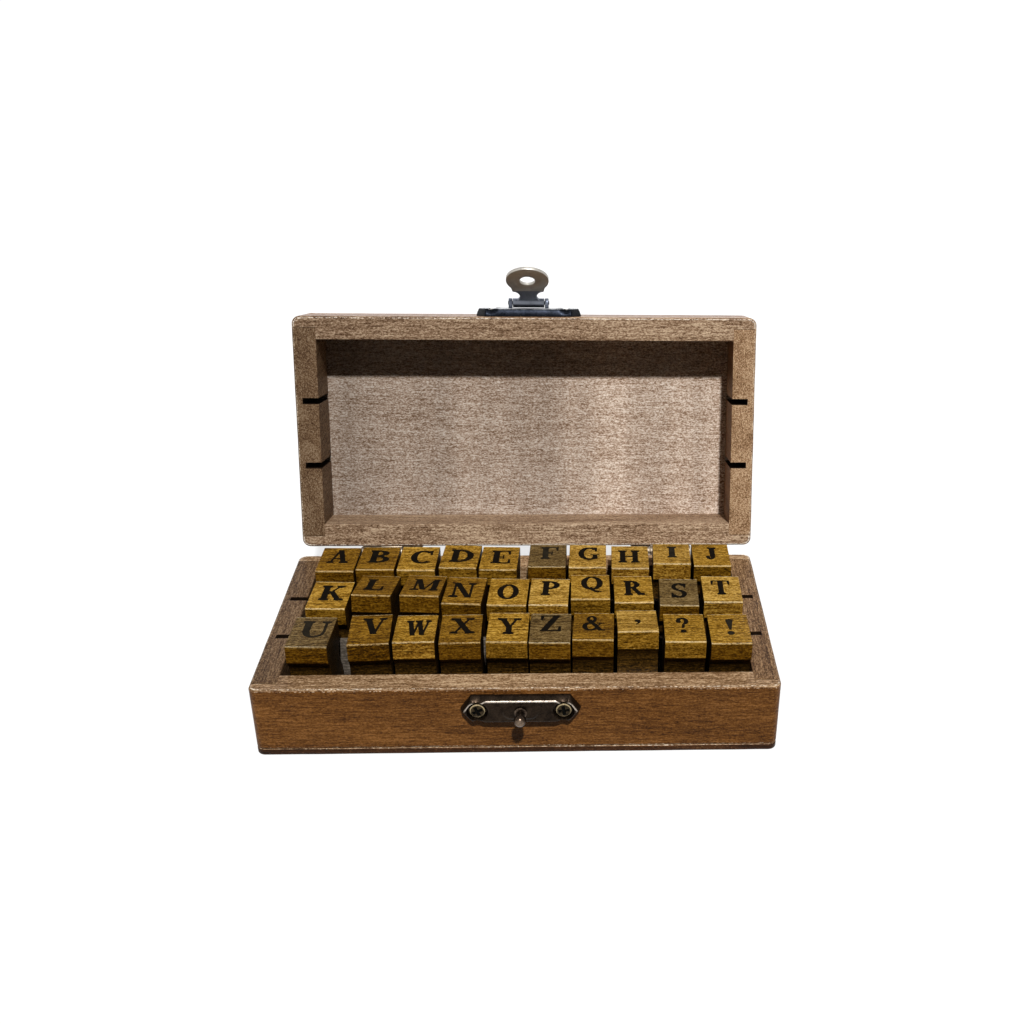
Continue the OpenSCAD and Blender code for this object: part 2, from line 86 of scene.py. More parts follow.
# How far sanding by hand moved the edges
WAVER = 0.09 * MM
PANEL_WAVER = 0.08 * MM
DIVIDER_WAVER = 0.03 * MM
# How far inside an edge its wear fades out
WEAR_BAND = 1 * MM
NARROW_WEAR_BAND = 0.45 * MM

# Stamps
RUBBER = 1.5 * MM
RUBBER_BACK = 0.7 * MM
FOAM = 3 * MM
HEAD = 5.5 * MM
GROOVE = 11 * MM
GROOVE_DEPTH = 2.4 * MM
GLUE = 0.05 * MM
FOOT_INSET = 0.3 * MM
STAMP_EASE = 0.22 * MM
STAMP_WAVER = 0.06 * MM
CUSHION_EASE = 0.4 * MM
CUSHION_WAVER = 0.04 * MM
RUBBER_EASE = 0.15 * MM
RUBBER_WAVER = 0.02 * MM
PRINT_SUNK = 0.05 * MM
PRINT_RISE = 0.02 * MM
INK_BLEED = 0.07 * MM

# Latch plates, drawn lying on their back
PLATE_TIP = 17 * MM
PLATE_FLAT = 14 * MM
PLATE_HALF = 4.3 * MM
PLATE_RISE = 2.6 * MM
PLATE_RIM = 0.5 * MM
PLATE_SIDE = 0.9 * MM
SIDE_WIDENS = 1 * MM
SCREW_AT = 12.15 * MM
SEAT_RADIUS = 2.9 * MM
SEAT_DEPTH = 1.5 * MM
SEAT_LIP = 0.15 * MM
# The catch's low boss and the two dents beside it
BOSS_RISE = 0.25 * MM
BOSS_HALF = 2.6 * MM
DENTS = ((-7.8 * MM, 0.6 * MM), (7.2 * MM, -0.4 * MM))
DENT_DEPTH = 0.25 * MM
DENT_RADIUS = 0.4 * MM
# Screws: the domed head, its cross recess and the shank
SCREW_RADIUS = 2.35 * MM
SCREW_RIM = 0.5 * MM
SCREW_DOME = 0.8 * MM
SLOT_HALF = 0.42 * MM
SLOT_REACH = 1.55 * MM
SLOT_DEPTH = 0.95 * MM
SLOT_SLOPE = 0.35
SHANK_LENGTH = 6.1 * MM
SHANK_TIP = 0.4 * MM
SHANK_TOP = 1.1 * MM
# Stud, and the radius of its ball and its collar
STUD_FOOT = 1.2 * MM
STUD_OUT = 4 * MM
BALL = 1.8 * MM
# Flap, its pin and the lugs that carry it
PIN_OUT = 4.3 * MM
KNUCKLE = 1.5 * MM
LUG_AT = 5.9 * MM
LUG_WIDTH = 1.2 * MM
LUG_EASE = 0.2 * MM
LUG_WAVER = 0.02 * MM
FLAP_PIN = Vector(joints["flap_hinge"]["pos_m"])
FLAP_NECK = 6.5 * MM
FLAP_EASE = 0.22 * MM
LEAF_EASE = 0.15 * MM
METAL_WAVER = 0.03 * MM

# An edge is sharp, and a shaded face keeps its own side, from these angles on
SHARP = math.radians(28)
SHADING_SPLIT = math.radians(50)
# How far off a point still counts as on a face
SLACK = 0.02 * MM
# How much of its normal a face needs on an axis to face that way: on the box, and on the
# tops and the ends of the stamps; and how far out the outer faces of the box begin
FACING = 0.5
TOP_FACING = 0.6
END_FACING = 0.8
OUTER_REACH = 20 * MM
# Points nearer than these are one: after the cuts, in the frame's own solids, and on a plane
SLIVER = 0.003 * MM
WELD = 1e-6
TOUCHING = 1e-7


def paint(red, green, blue):
    """A colour given as it looks on a screen, each part from 0 to 255."""
    parts = [part / 255 for part in (red, green, blue)]
    return [p / 12.92 if p <= 0.04045 else ((p + 0.055) / 1.055) ** 2.4 for p in parts] + [1]


def bell(x):
    """One at zero, fading to nothing at one on either side."""
    return math.cos(min(abs(x), 1) * math.pi / 2) ** 2


def step(low, high, x):
    """Rises smoothly from nothing at low to one at high."""
    t = min(max((x - low) / (high - low), 0), 1)
    return t * t * (3 - 2 * t)


# Solids

def corners(points):
    """Lowest and highest corner of the upright box round some points."""
    return [Vector([pick(p[k] for p in points) for k in range(3)]) for pick in (min, max)]


def prism(outline, low, high):
    """A closed solid with that outline in X and Y, from height low to height high."""
    bm = bmesh.new()
    face = bm.faces.new([bm.verts.new((x, y, low)) for x, y in outline])
    raise_faces(bm, [face], high - low)
    return bm


def raise_faces(bm, faces, height):
    """Pulls flat faces up into a closed solid."""
    grown = bmesh.ops.extrude_face_region(bm, geom=faces)["geom"]
    tops = [v for v in grown if isinstance(v, bmesh.types.BMVert)]
    bmesh.ops.translate(bm, verts=tops, vec=(0, 0, height))
    bmesh.ops.recalc_face_normals(bm, faces=bm.faces)


def block(low, high):
    """A closed box between two corners."""
    return prism([(low[0], low[1]), (high[0], low[1]), (high[0], high[1]), (low[0], high[1])],
                 low[2], high[2])


def climb(edge):
    """How much higher one end of an edge lies than the other."""
    return abs(edge.verts[0].co.z - edge.verts[1].co.z)


def ease(bm, width, segments=3, pick=None, wear=1.0):
    """Rounds the sharp outer edges and notes how worn the rounding is."""
    eased = bm.faces.layers.float.get("eased") or bm.faces.layers.float.new("eased")
    edges = [e for e in bm.edges if e.is_manifold and e.calc_face_angle_signed() > SHARP
             and (pick is None or pick(e))]
    made = bmesh.ops.bevel(bm, geom=edges, offset=width, offset_type="OFFSET",
                           segments=segments, profile=0.5, affect="EDGES",
                           clamp_overlap=True, material=-1)
    for f in made["faces"]:
        f[eased] = wear


def cut(bm, axis, at):
    """A line of edges round the piece, square to an axis."""
    across = Vector([k == axis for k in range(3)])
    bmesh.ops.bisect_plane(bm, geom=bm.verts[:] + bm.edges[:] + bm.faces[:], dist=TOUCHING,
                           plane_co=across * at, plane_no=across)


def score(bm, width, along, pitch):
    """Cuts lines inside the edges, where wear fades out, and across the length."""
    spans = list(zip(*corners([v.co for v in bm.verts])))
    for axis, (low, high) in enumerate(spans):
        if high - low > 3 * width:
            cut(bm, axis, low + width)
            cut(bm, axis, high - width)
    low, high = spans[along]
    count = int((high - low) / pitch)
    for k in range(1, count):
        cut(bm, along, low + (high - low) * k / count)


def wear_down(bm, amount, waves):
    """Merges slivers, marks the eased edges as worn, a mark that also lays a painted highlight on
    them, and moves them in so many waves a metre.
    """
    bmesh.ops.remove_doubles(bm, verts=bm.verts, dist=SLIVER)
    bmesh.ops.dissolve_degenerate(bm, edges=bm.edges, dist=SLIVER)
    eased = bm.faces.layers.float["eased"]
    worn = bm.verts.layers.float.new("worn")
    for v in bm.verts:
        v[worn] = max(f[eased] for f in v.link_faces)
        v.co += noise.noise_vector(v.co * waves) * amount * v[worn]


def add(name, data):
    """A new object in the scene."""
    thing = bpy.data.objects.new(name, data)
    bpy.context.scene.collection.objects.link(thing)
    return thing


def put(bm, name, body, material, place=CLOSED, node=None):
    """Makes the finished piece: in its place, riding on its body, with its materials."""
    bmesh.ops.transform(bm, matrix=place, verts=bm.verts)
    mesh = bpy.data.meshes.new(name)
    bm.to_mesh(mesh)
    bm.free()
    for one in material if isinstance(material, list) else [material]:
        mesh.materials.append(one)
    mesh.shade_smooth()
    mesh.set_sharp_from_angle(angle=SHADING_SPLIT)
    piece = add(name, mesh)
    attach(piece, body)
    if node:
        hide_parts(node)
    return piece


def measured(place, node):
    """Lowest and highest corner of a CAD node along the axes of a place."""
    back = place.inverted()
    return corners([back @ v.co for v in frame["nodes"][node].data.vertices])


# Materials

def node_of(tree, kind, inputs=(), **settings):
    """A shader node with its settings and with values or links for its inputs."""
    made = tree.nodes.new(kind)
    for key, value in settings.items():
        setattr(made, key, value)
    for key, value in dict(inputs).items():
        if isinstance(value, bpy.types.NodeSocket):
            tree.links.new(value, made.inputs[key])
        else:
            made.inputs[key].default_value = value
    return made


def new_material(name, shine=0.5, metallic=0.0):
    material = bpy.data.materials.new(name)
    material.use_nodes = True
    shader = material.node_tree.nodes["Principled BSDF"]
    shader.inputs["Specular IOR Level"].default_value = shine
    shader.inputs["Metallic"].default_value = metallic
    return material, material.node_tree, shader


def stretched_noise(tree, vector, along, across, detail=4, rough=0.6, bend=0.0):
    """Noise with so many waves a metre along X, and across it."""
    scaled = node_of(tree, "ShaderNodeVectorMath", {0: vector, 1: (along, across, across)},
                     operation="MULTIPLY")
    return node_of(tree, "ShaderNodeTexNoise",
                   {"Vector": scaled.outputs[0], "Scale": 1, "Detail": detail,
                    "Roughness": rough, "Distortion": bend}).outputs["Fac"]


def weighted(tree, parts):
    """Sum of value sockets, each times its weight."""
    total = None
    for socket, weight in parts:
        total = node_of(tree, "ShaderNodeMath",
                        {0: socket, 1: weight, 2: total if total else 0.0},
                        operation="MULTIPLY_ADD").outputs[0]
    return total


def ramp(tree, value, stops):
    """A value turned into a colour; stops are places from 0 to 1 with their colours."""
    made = node_of(tree, "ShaderNodeValToRGB", {"Fac": value})
    while len(made.color_ramp.elements) < len(stops):
        made.color_ramp.elements.new(0.5)
    for element, (place, colour) in zip(made.color_ramp.elements, stops):
        element.position = place
        element.color = colour
    return made.outputs["Color"]


def mixed(tree, fac, a, b, blend="MIX"):
    """Two colours mixed by a factor; either may be plain or come from a node."""
    made = node_of(tree, "ShaderNodeMix", {"Factor": fac, 6: a, 7: b},
                   data_type="RGBA", blend_type=blend)
    return made.outputs[2]


def spread(tree, value, low, high, to_low=0.0, to_high=1.0):
    """The stretch of a value from low to high, spread over another stretch."""
    return node_of(tree, "ShaderNodeMapRange",
                   {"Value": value, "From Min": low, "From Max": high,
                    "To Min": to_low, "To Max": to_high}).outputs["Result"]


def grey(amount):
    return [amount, amount, amount, 1]


def darkened(tree, colour, value, share):
    """A colour that loses that share of its light where the value is nothing."""
    shade = ramp(tree, value, [(0.0, grey(1 - share)), (1.0, grey(1))])
    return mixed(tree, 1.0, colour, shade, "MULTIPLY")


def finish(tree, shader, colour, rough, height, bump, depth):
    """Gives a material its colour, its roughness and its fine relief."""
    tree.links.new(colour, shader.inputs["Base Color"])
    tree.links.new(rough, shader.inputs["Roughness"])
    rise = node_of(tree, "ShaderNodeBump",
                   {"Height": height, "Strength": bump, "Distance": depth})
    tree.links.new(rise.outputs[0], shader.inputs["Normal"])


# Waves a metre along and across the grain, from the broad figure to the fine mottle
FIGURE = (14, 110)
FIBRE = (90, 1500)
PORES = (500, 2600)
MOTTLE = (1400, 2500)
BANDS = (55, 2)
PORE_DEPTH = 0.3 * MM
# Painted shade: the pale wood's colour darkens towards the left end of the box
SHADE_FROM = -75 * MM
SHADE_TO = 55 * MM
# Waves a metre of the clouds and the grit in a metal's or a rubber's skin
CLOUDS = 500
GRIT = 2600
PIT_DEPTH = 0.12 * MM


def timber(name, dark, middle, light, worn, turn=0.0, gloss=0.5, shine=0.1, bump=0.45,
           weights=(1, 1, 1, 1), bands=0.0, wear=0.8, painted_left_shade=0.0, contrast=0.085, rub_and_highlight_from=2.08):
    """Wood with its grain along X, or turned about Z: figure, fibres, pores and mottle.

    The weights are those four's shares in its colour. Bands are the broad pale bands of a
    planed panel, painted_left_shade is its painted shade at the left, and rub_and_highlight_from is
    where its pale edges begin, partly worn and partly a painted highlight.
    """
    material, tree, shader = new_material(name, shine)
    place = node_of(tree, "ShaderNodeTexCoord").outputs["Object"]
    vector = node_of(tree, "ShaderNodeMapping",
                     {"Vector": place, "Rotation": (0, 0, turn)}).outputs[0]
    figure = stretched_noise(tree, vector, *FIGURE, detail=3, bend=0.8)
    fibre = stretched_noise(tree, vector, *FIBRE, detail=5, rough=0.65)
    pores = stretched_noise(tree, vector, *PORES, detail=3, rough=0.7)
    mottle = stretched_noise(tree, vector, *MOTTLE, detail=4, rough=0.75)
    total = sum(weights)
    value = weighted(tree, [(part, weight / total) for part, weight
                            in zip((figure, fibre, pores, mottle), weights)])
    spots = spread(tree, value, 0.5 - contrast, 0.5 + contrast)
    colour = ramp(tree, spots, [(0.0, paint(*dark)), (0.5, paint(*middle)),
                                (1.0, paint(*light))])
    if bands:
        band = stretched_noise(tree, vector, *BANDS, detail=2, rough=0.5)
        colour = darkened(tree, colour, spread(tree, band, 0.35, 0.6), bands)
    # Painted shade: darker towards the left end of the box
    if painted_left_shade:
        across = node_of(tree, "ShaderNodeSeparateXYZ", {0: place}).outputs[0]
        colour = darkened(tree, colour, spread(tree, across, SHADE_FROM, SHADE_TO), painted_left_shade)
    # The pale edges: partly rubbed wear, partly a painted highlight on the eased edges
    edge = node_of(tree, "ShaderNodeAttribute", attribute_name="worn").outputs["Fac"]
    rubbed_and_highlight = spread(tree, weighted(tree, [(edge, 1.0), (mottle, 1.6), (figure, 0.6)]),
                    rub_and_highlight_from, rub_and_highlight_from + 0.2, 0.0, wear)
    colour = mixed(tree, rubbed_and_highlight, colour, paint(*worn))
    rough = spread(tree, pores, 0.3, 0.7, gloss + 0.15, gloss - 0.12)
    height = weighted(tree, [(fibre, 0.5), (pores, 0.6), (mottle, 0.5)])
    finish(tree, shader, colour, rough, height, bump, PORE_DEPTH)
    return material


def plated(name, dark, light, rubbed_and_highlight, gloss=0.38, wear=0.8, metallic=1.0, shine=0.12):
    """An antiqued or dull finish: dark in its hollows, paler on its edges, partly rubbed and partly
    a painted highlight.
    """
    material, tree, shader = new_material(name, shine, metallic)
    place = node_of(tree, "ShaderNodeTexCoord").outputs["Object"]
    cloud = stretched_noise(tree, place, CLOUDS, CLOUDS, detail=5, rough=0.7)
    grit = stretched_noise(tree, place, GRIT, GRIT, detail=4, rough=0.7)
    value = weighted(tree, [(cloud, 0.6), (grit, 0.4)])
    colour = ramp(tree, spread(tree, value, 0.36, 0.66), [(0.0, paint(*dark)),
                                                          (1.0, paint(*light))])
    edge = node_of(tree, "ShaderNodeAttribute", attribute_name="worn").outputs["Fac"]
    bright = spread(tree, weighted(tree, [(edge, 1.0), (cloud, 0.7), (grit, 0.5)]),
                    1.05, 1.6, 0.0, wear)
    colour = mixed(tree, bright, colour, paint(*rubbed_and_highlight))
    rough = spread(tree, grit, 0.35, 0.65, gloss - 0.08, gloss + 0.14)
    finish(tree, shader, colour, rough, value, 0.35, PIT_DEPTH)
    return material


# A board with its grain along Y, and the weights of a finely mottled wood
ALONG_Y = math.radians(90)
FINE = (0.5, 0.8, 1.0, 1.7)
# Varnish colours: dark, middle, light, and the pale edges, partly worn and partly a painted
# highlight
VARNISH = ((54, 28, 7), (110, 69, 29), (156, 106, 56), (244, 224, 194))
varnished, varnished_side = [
    timber(name, *VARNISH, turn, gloss=0.4, weights=(0.7, 1.1, 1.1, 1.5))
    for name, turn in (("varnished_board", 0.0), ("varnished_side_board", ALONG_Y))]
varnished_foot = timber("varnished_bottom_panel", (26, 13, 4), (56, 32, 14), (90, 56, 30),
                        (150, 112, 76), gloss=0.45)
base_rim = timber("sanded_board", (78, 52, 30), (145, 113, 80), (206, 176, 140),
                  (250, 238, 218), gloss=0.45, weights=FINE, painted_left_shade=0.15, contrast=0.075,
                  rub_and_highlight_from=2.0)
base_side_rim = timber("sanded_side_board", (52, 34, 22), (114, 84, 56), (168, 136, 100),
                       (222, 200, 172), ALONG_Y, gloss=0.5, weights=FINE, painted_left_shade=0.42,
                       contrast=0.075)
lid_rim = timber("lid_sanded_board", (72, 48, 30), (141, 112, 86), (206, 180, 150),
                 (250, 240, 224), gloss=0.5, weights=FINE, painted_left_shade=0.25, contrast=0.075,
                 rub_and_highlight_from=2.0)
lid_side_rim = timber("lid_sanded_side_board", (84, 56, 36), (152, 118, 85), (206, 176, 142),
                      (240, 222, 196), ALONG_Y, gloss=0.5, weights=FINE, painted_left_shade=0.6,
                      contrast=0.075)
lid_varnished = timber("lid_varnished_board", (62, 36, 18), (112, 76, 44), (160, 122, 84),
                       (232, 204, 168), gloss=0.42, weights=(1.0, 1.0, 0.8, 1.1))
# Painted shade: a darker copy of the lid's side-wall wood, for the inner face of its right wall
lid_inner_side_shaded = timber("lid_inner_side_board", (74, 46, 28), (110, 76, 50), (144, 106, 74),
                        (190, 154, 118), ALONG_Y, gloss=0.5)
panel_wood = timber("lid_panel_wood", (124, 94, 70), (194, 168, 146), (246, 230, 214),
                    (220, 196, 172), gloss=0.6, bands=0.28, weights=(0.4, 0.7, 1.0, 2.4),
                    wear=0.0, painted_left_shade=0.58, contrast=0.075)
panel_back = timber("lid_outer_panel", (86, 56, 34), (134, 94, 60), (168, 126, 88),
                    (200, 164, 124), gloss=0.42, weights=(1.3, 1.0, 0.8, 0.8))
# Near black: the dark joint lines where boards meet, and painted shade on the faces of the saw
# kerfs
joint_and_kerf_shade = timber("shaded_saw_cut", (6, 4, 2), (22, 14, 8), (44, 30, 18), (60, 42, 28),
                 gloss=0.7, shine=0.03)
# The dividers' pale plywood, darkened with painted shade for where it shows in the gaps between the
# stamps
divider_shaded_wood = timber("divider_strip", (40, 35, 30), (84, 76, 67), (124, 114, 102),
                      (150, 140, 128), gloss=0.65, shine=0.05)

# The stamps' golden stain took differently on each block. The tones that end in _front are
# darker copies for the fronts and backs of the blocks, and deep is near black for the finger
# grooves and the end faces: both are painted shade. Each gives the colour in the hollows, on the
# wood and on the high fibres, and on the pale edges, partly rubbed and partly a painted highlight
STAIN_AND_SHADE_TONES = {
    "amber": ((44, 25, 2), (104, 70, 10), (160, 119, 40), (236, 214, 168)),
    "amber_front": ((32, 17, 1), (86, 54, 4), (132, 94, 24), (214, 182, 120)),
    "gold": ((60, 38, 4), (136, 97, 22), (198, 156, 68), (246, 228, 184)),
    "gold_front": ((42, 25, 2), (106, 72, 10), (162, 121, 42), (236, 208, 150)),
    "honey": ((72, 48, 10), (150, 111, 36), (212, 172, 90), (250, 236, 198)),
    "honey_front": ((56, 35, 4), (132, 91, 24), (192, 150, 62), (246, 226, 178)),
    "grey": ((32, 22, 8), (88, 67, 34), (138, 114, 72), (222, 206, 170)),
    "deep": ((14, 8, 2), (48, 31, 7), (86, 60, 22), (110, 82, 40)),
}
STAIN_AND_SHADE_WOODS = {tone: timber(tone + "_stained_wood", *tones, gloss=0.42, shine=0.05, bump=0.6,
                       weights=(0.5, 0.9, 1.1, 1.7), wear=0.95, contrast=0.07, rub_and_highlight_from=1.84)
          for tone, tones in STAIN_AND_SHADE_TONES.items()}
ink = plated("stamped_ink", (5, 4, 3), (22, 17, 10), (22, 17, 10), 0.75, 0.0, 0.0, 0.03)
faded_ink = plated("faded_ink", (18, 16, 12), (44, 38, 28), (44, 38, 28), 0.75, 0.0, 0.0, 0.03)
foam_black = plated("foam", (16, 16, 18), (32, 32, 35), (40, 40, 44), 0.8, 0.3, 0.0)
rubber_grey = plated("rubber", (66, 58, 54), (92, 84, 80), (110, 102, 96), 0.6, 0.4, 0.0)
# The pale crest colours of the latch and the hasp are partly rubbed metal and partly a painted
# highlight
latch_metal = plated("latch_plating", (18, 12, 8), (54, 43, 33), (214, 200, 184), 0.3,
                     metallic=0.85)
hasp_metal = plated("hasp_plating", (5, 6, 8), (28, 31, 38), (232, 234, 238), 0.32)
# The flap's head has the plain plating; its neck and knuckle and the lugs take a darker bluish
# copy, a painted cool reflection
flap_metal = plated("flap_plating", (110, 108, 104), (184, 180, 172), (176, 172, 164), 0.42)
neck_painted_reflection = plated("flap_neck_plating", (36, 40, 48), (126, 132, 146), (120, 124, 132), 0.42)
stud_metal = plated("stud_plating", (32, 25, 20), (74, 61, 50), (150, 130, 112), 0.26)
screw_metal = plated("screw_plating", (22, 18, 13), (78, 66, 48), (196, 176, 136), 0.32)
# Painted shade: near black in the screws' cross recesses
slot_painted_shade = plated("screw_slot_dirt", (2, 2, 2), (10, 9, 7), (10, 9, 7), 0.7, 0.0, 0.0, 0.05)
hinge_metal = plated("hinge_plating", (52, 43, 34), (92, 80, 68), (170, 156, 138), 0.4)


# Boards

def outward(face):
    """Whether a face lies on the outer side of the box."""
    middle = face.calc_center_median()
    out = middle.x * face.normal.x + middle.y * face.normal.y
    return out > OUTER_REACH and abs(face.normal.z) < FACING


def long_wall_outline(low, high, side):
    """Seen from above: a board with a rabbet at both inner ends."""
    wall = high.y - low.y
    outer, inner = (low.y, high.y) if side < 0 else (high.y, low.y)
    rabbet_y = inner + side * RABBET
    return [(low.x, outer), (high.x, outer), (high.x, rabbet_y), (high.x - wall, rabbet_y),
            (high.x - wall, inner), (low.x + wall, inner), (low.x + wall, rabbet_y),
            (low.x, rabbet_y)]


def side_wall_outline(low, high, side, kerfs):
    """Seen from above: a board with saw kerfs in its inner face."""
    outer, inner = (low.x, high.x) if side < 0 else (high.x, low.x)
    floor_of_kerf = inner + side * KERF_DEPTH
    points = [(outer, low.y), (inner, low.y)]
    for y in sorted(kerfs):
        points += [(inner, y - KERF_WIDTH / 2), (floor_of_kerf, y - KERF_WIDTH / 2),
                   (floor_of_kerf, y + KERF_WIDTH / 2), (inner, y + KERF_WIDTH / 2)]
    return points + [(inner, high.y), (outer, high.y)]


def board(node, body, place, outline, low, high, along, skins, outside, hidden, shaded):
    """A board of the box: rounded upright corners, eased outer edges, a slight waver."""
    bm = prism(outline, low.z, high.z)
    if along == 0:
        ease(bm, CORNER, 6, lambda e: all(outside(v.co, SLACK - CORNER) for v in e.verts)
             and climb(e) > MM, 0.0)
    ease(bm, RIM_EASE, 3, lambda e: all(outside(v.co, 0) for v in e.verts)
         and climb(e) < SLACK)
    ease(bm, JOINT_EASE, 2, lambda e: not hidden((e.verts[0].co + e.verts[1].co) / 2), 0.3)
    score(bm, WEAR_BAND, along, pitch=4 * MM)
    wear_down(bm, WAVER, waves=170)
    for face in bm.faces:
        if outward(face):
            face.material_index = 0
        else:
            face.material_index = 1 if abs(face.normal.z) > FACING else 2
        # Kerf faces take the painted shade, and board ends the dark joint
        if shaded(face):
            face.material_index = 3
    put(bm, node + "_board", body, skins + [joint_and_kerf_shade], place, node)


def box_shell(prefix, body, place, long_skins, side_skins, inner):
    """Four walls, jointed in rabbets at the corners; inner has the skins of inner faces."""
    kerfs = [sum(p.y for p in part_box(n)) / 2 for n in ("rear_divider", "front_divider")]
    low, high = measured(place, f"{prefix}_front_wall")
    middle = (low.x + high.x) / 2
    half = Vector(((high.x - low.x) / 2, -low.y))
    wall = high.y - low.y

    def outside(point, reach):
        """On the box's outer faces; a reach below zero asks for a corner post."""
        x, y = abs(point.x - middle) - half.x, abs(point.y) - half.y
        if reach < 0:
            return x > -SLACK and y > -SLACK
        return x > -SLACK or y > -SLACK or (x > -CORNER - SLACK and y > -CORNER - SLACK)

    def in_rabbet(point):
        return (abs(point.x - middle) > half.x - wall - SLACK
                and abs(point.y) < half.y - wall + RABBET + SLACK)

    def in_kerf(point):
        return any(abs(point.y - y) < KERF_WIDTH / 2 + SLACK for y in kerfs)

    def in_shade(face):
        """On the faces of a saw kerf, painted in shade, or on the eased end that meets the next
        board, a dark joint.
        """
        at = face.calc_center_median()
        end = half.y - wall + RABBET - JOINT_EASE
        if abs(at.y) > end:
            return abs(at.x - middle) < half.x - RIM_EASE
        return (in_kerf(at) and abs(face.normal.z) < FACING
                and half.x - wall - WAVER < abs(at.x - middle) < half.x - wall + KERF_DEPTH + WAVER)

    for side, name in ((-1, "front"), (1, "back")):
        node = f"{prefix}_{name}_wall"
        low, high = measured(place, node)
        board(node, body, place, long_wall_outline(low, high, side), low, high, 0,
              long_skins + [inner.get(name, long_skins[1])], outside, in_rabbet, lambda face: False)
    for side, name in SIDES:
        node = f"{prefix}_{name}_wall"
        low, high = measured(place, node)
        board(node, body, place, side_wall_outline(low, high, side, kerfs), low, high, 1,
              side_skins + [inner.get(name, side_skins[1])], outside, in_kerf, in_shade)


def panel(node, body, place, skins, inner):
    """A thin panel; inner is 1 where its upper face lies inside the box, or -1."""
    low, high = measured(place, node)
    bm = block(low, high)
    ease(bm, CORNER, 6, lambda e: climb(e) > MM / 10, 0.0)
    ease(bm, PANEL_EASE, 2, None, 0.8)
    score(bm, WEAR_BAND, 0, pitch=6 * MM)
    wear_down(bm, PANEL_WAVER, waves=160)
    for v in bm.verts:
        v.co.z = min(max(v.co.z, low.z), high.z)
    for face in bm.faces:
        face.material_index = int(face.normal.z * inner > FACING)
    put(bm, node + "_board", body, skins, place, node)


def dividers():
    """The two strips between the rows of stamps."""
    for node in ("rear_divider", "front_divider"):
        low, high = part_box(node)
        bm = block(low, high)
        ease(bm, DIVIDER_EASE, 2, None, 0.6)
        score(bm, NARROW_WEAR_BAND, 0, pitch=6 * MM)
        wear_down(bm, DIVIDER_WAVER, waves=200)
        put(bm, node + "_strip", "base", divider_shaded_wood, CLOSED, node)


box_shell("base", "base", CLOSED, [varnished, base_rim], [varnished_side, base_side_rim], {})
box_shell("lid", "lid", OPENED, [lid_varnished, lid_rim], [lid_varnished, lid_side_rim],
          {"right": lid_inner_side_shaded})
panel("base_bottom_panel", "base", CLOSED, [varnished_foot, base_rim], 1)
panel("lid_top_panel", "lid", OPENED, [panel_back, panel_wood], -1)
dividers()


# Letters, drawn in a grid ten units high; most strokes are a stem, a slant, a bar or a ring

# Height of a capital, width of its thick and thin strokes, depth of a serif at its tips and
# against the stem, and the size of a unit
CAP = 10
STEM = 2.4
HAIR = 1.1
SLAB = 0.95
BRACKET = 1.5
UNIT = 0.85 * MM
# Units between the points of an outline, units within which they are one, and waves a unit
# of its rough edge
POINT_GAP = 0.8
ONE_POINT = 1e-3
EDGE_WAVES = 0.9


def bar(left, low, right, high):
    """An upright or level stroke."""
    return [[(left, low), (right, low), (right, high), (left, high)]]


def slant(foot, head, width, low=0, high=CAP):
    """A leaning stroke between the middles of its foot and its head."""
    half = width / 2
    return [[(foot - half, low), (foot + half, low), (head + half, high), (head - half, high)]]


def serif(x, half, width, at=0):
    """A slab across the end of a stem, at the foot or at the cap."""
    up = 1 if at == 0 else -1
    return [[(x - half, at), (x + half, at), (x + half, at + up * SLAB),
             (x + width / 2, at + up * BRACKET), (x - width / 2, at + up * BRACKET),
             (x - half, at + up * SLAB)]]


def stem(x, width=STEM, low=0, foot=1.9, cap=1.9):
    """An upright stroke with serifs that reach so far at its foot and its cap."""
    shapes = bar(x - width / 2, low, x + width / 2, CAP)
    if foot:
        shapes += serif(x, foot, width)
    if cap:
        shapes += serif(x, cap, width, CAP)
    return shapes


def ring(x, y, across, up, start, end, side=STEM, top=HAIR):
    """Part of an oval stroke between two angles: side wide on its flanks, top on its ends."""
    count = round((end - start) / 15)
    turns = [math.radians(start + (end - start) * k / count) for k in range(count + 1)]
    outer = [(x + across * math.cos(a), y + up * math.sin(a)) for a in turns]
    inner = [(x + (across - side) * math.cos(a), y + (up - top) * math.sin(a)) for a in turns]
    return [outer + inner[::-1]]


def oval(x, y, across, up, left=STEM, right=STEM):
    """A closed ring with its own width on either flank."""
    return ring(x, y, across, up, -90, 90, right) + ring(x, y, across, up, 90, 270, left)


def drop(x, y, radius):
    """A round dot."""
    turns = [math.radians(30 * k) for k in range(12)]
    return [[(x + radius * math.cos(a), y + radius * math.sin(a)) for a in turns]]


def beak(x, low, high, lean=0.0):
    """The small upright tip at the end of an arm or a bowl."""
    return [[(x - 0.35, low), (x + 0.35, low), (x + 0.45 + lean, high), (x - 0.9 + lean, high)]]


def bowl(low, high, reach):
    """The round part of B, D, P and R, against a stem at 2."""
    up = (high - low) / 2
    across = reach - 3.2
    return (bar(2, high - HAIR, 3.3, high) + bar(2, low, 3.3, low + HAIR)
            + ring(3.2, low + up, across, up, -90, 90))


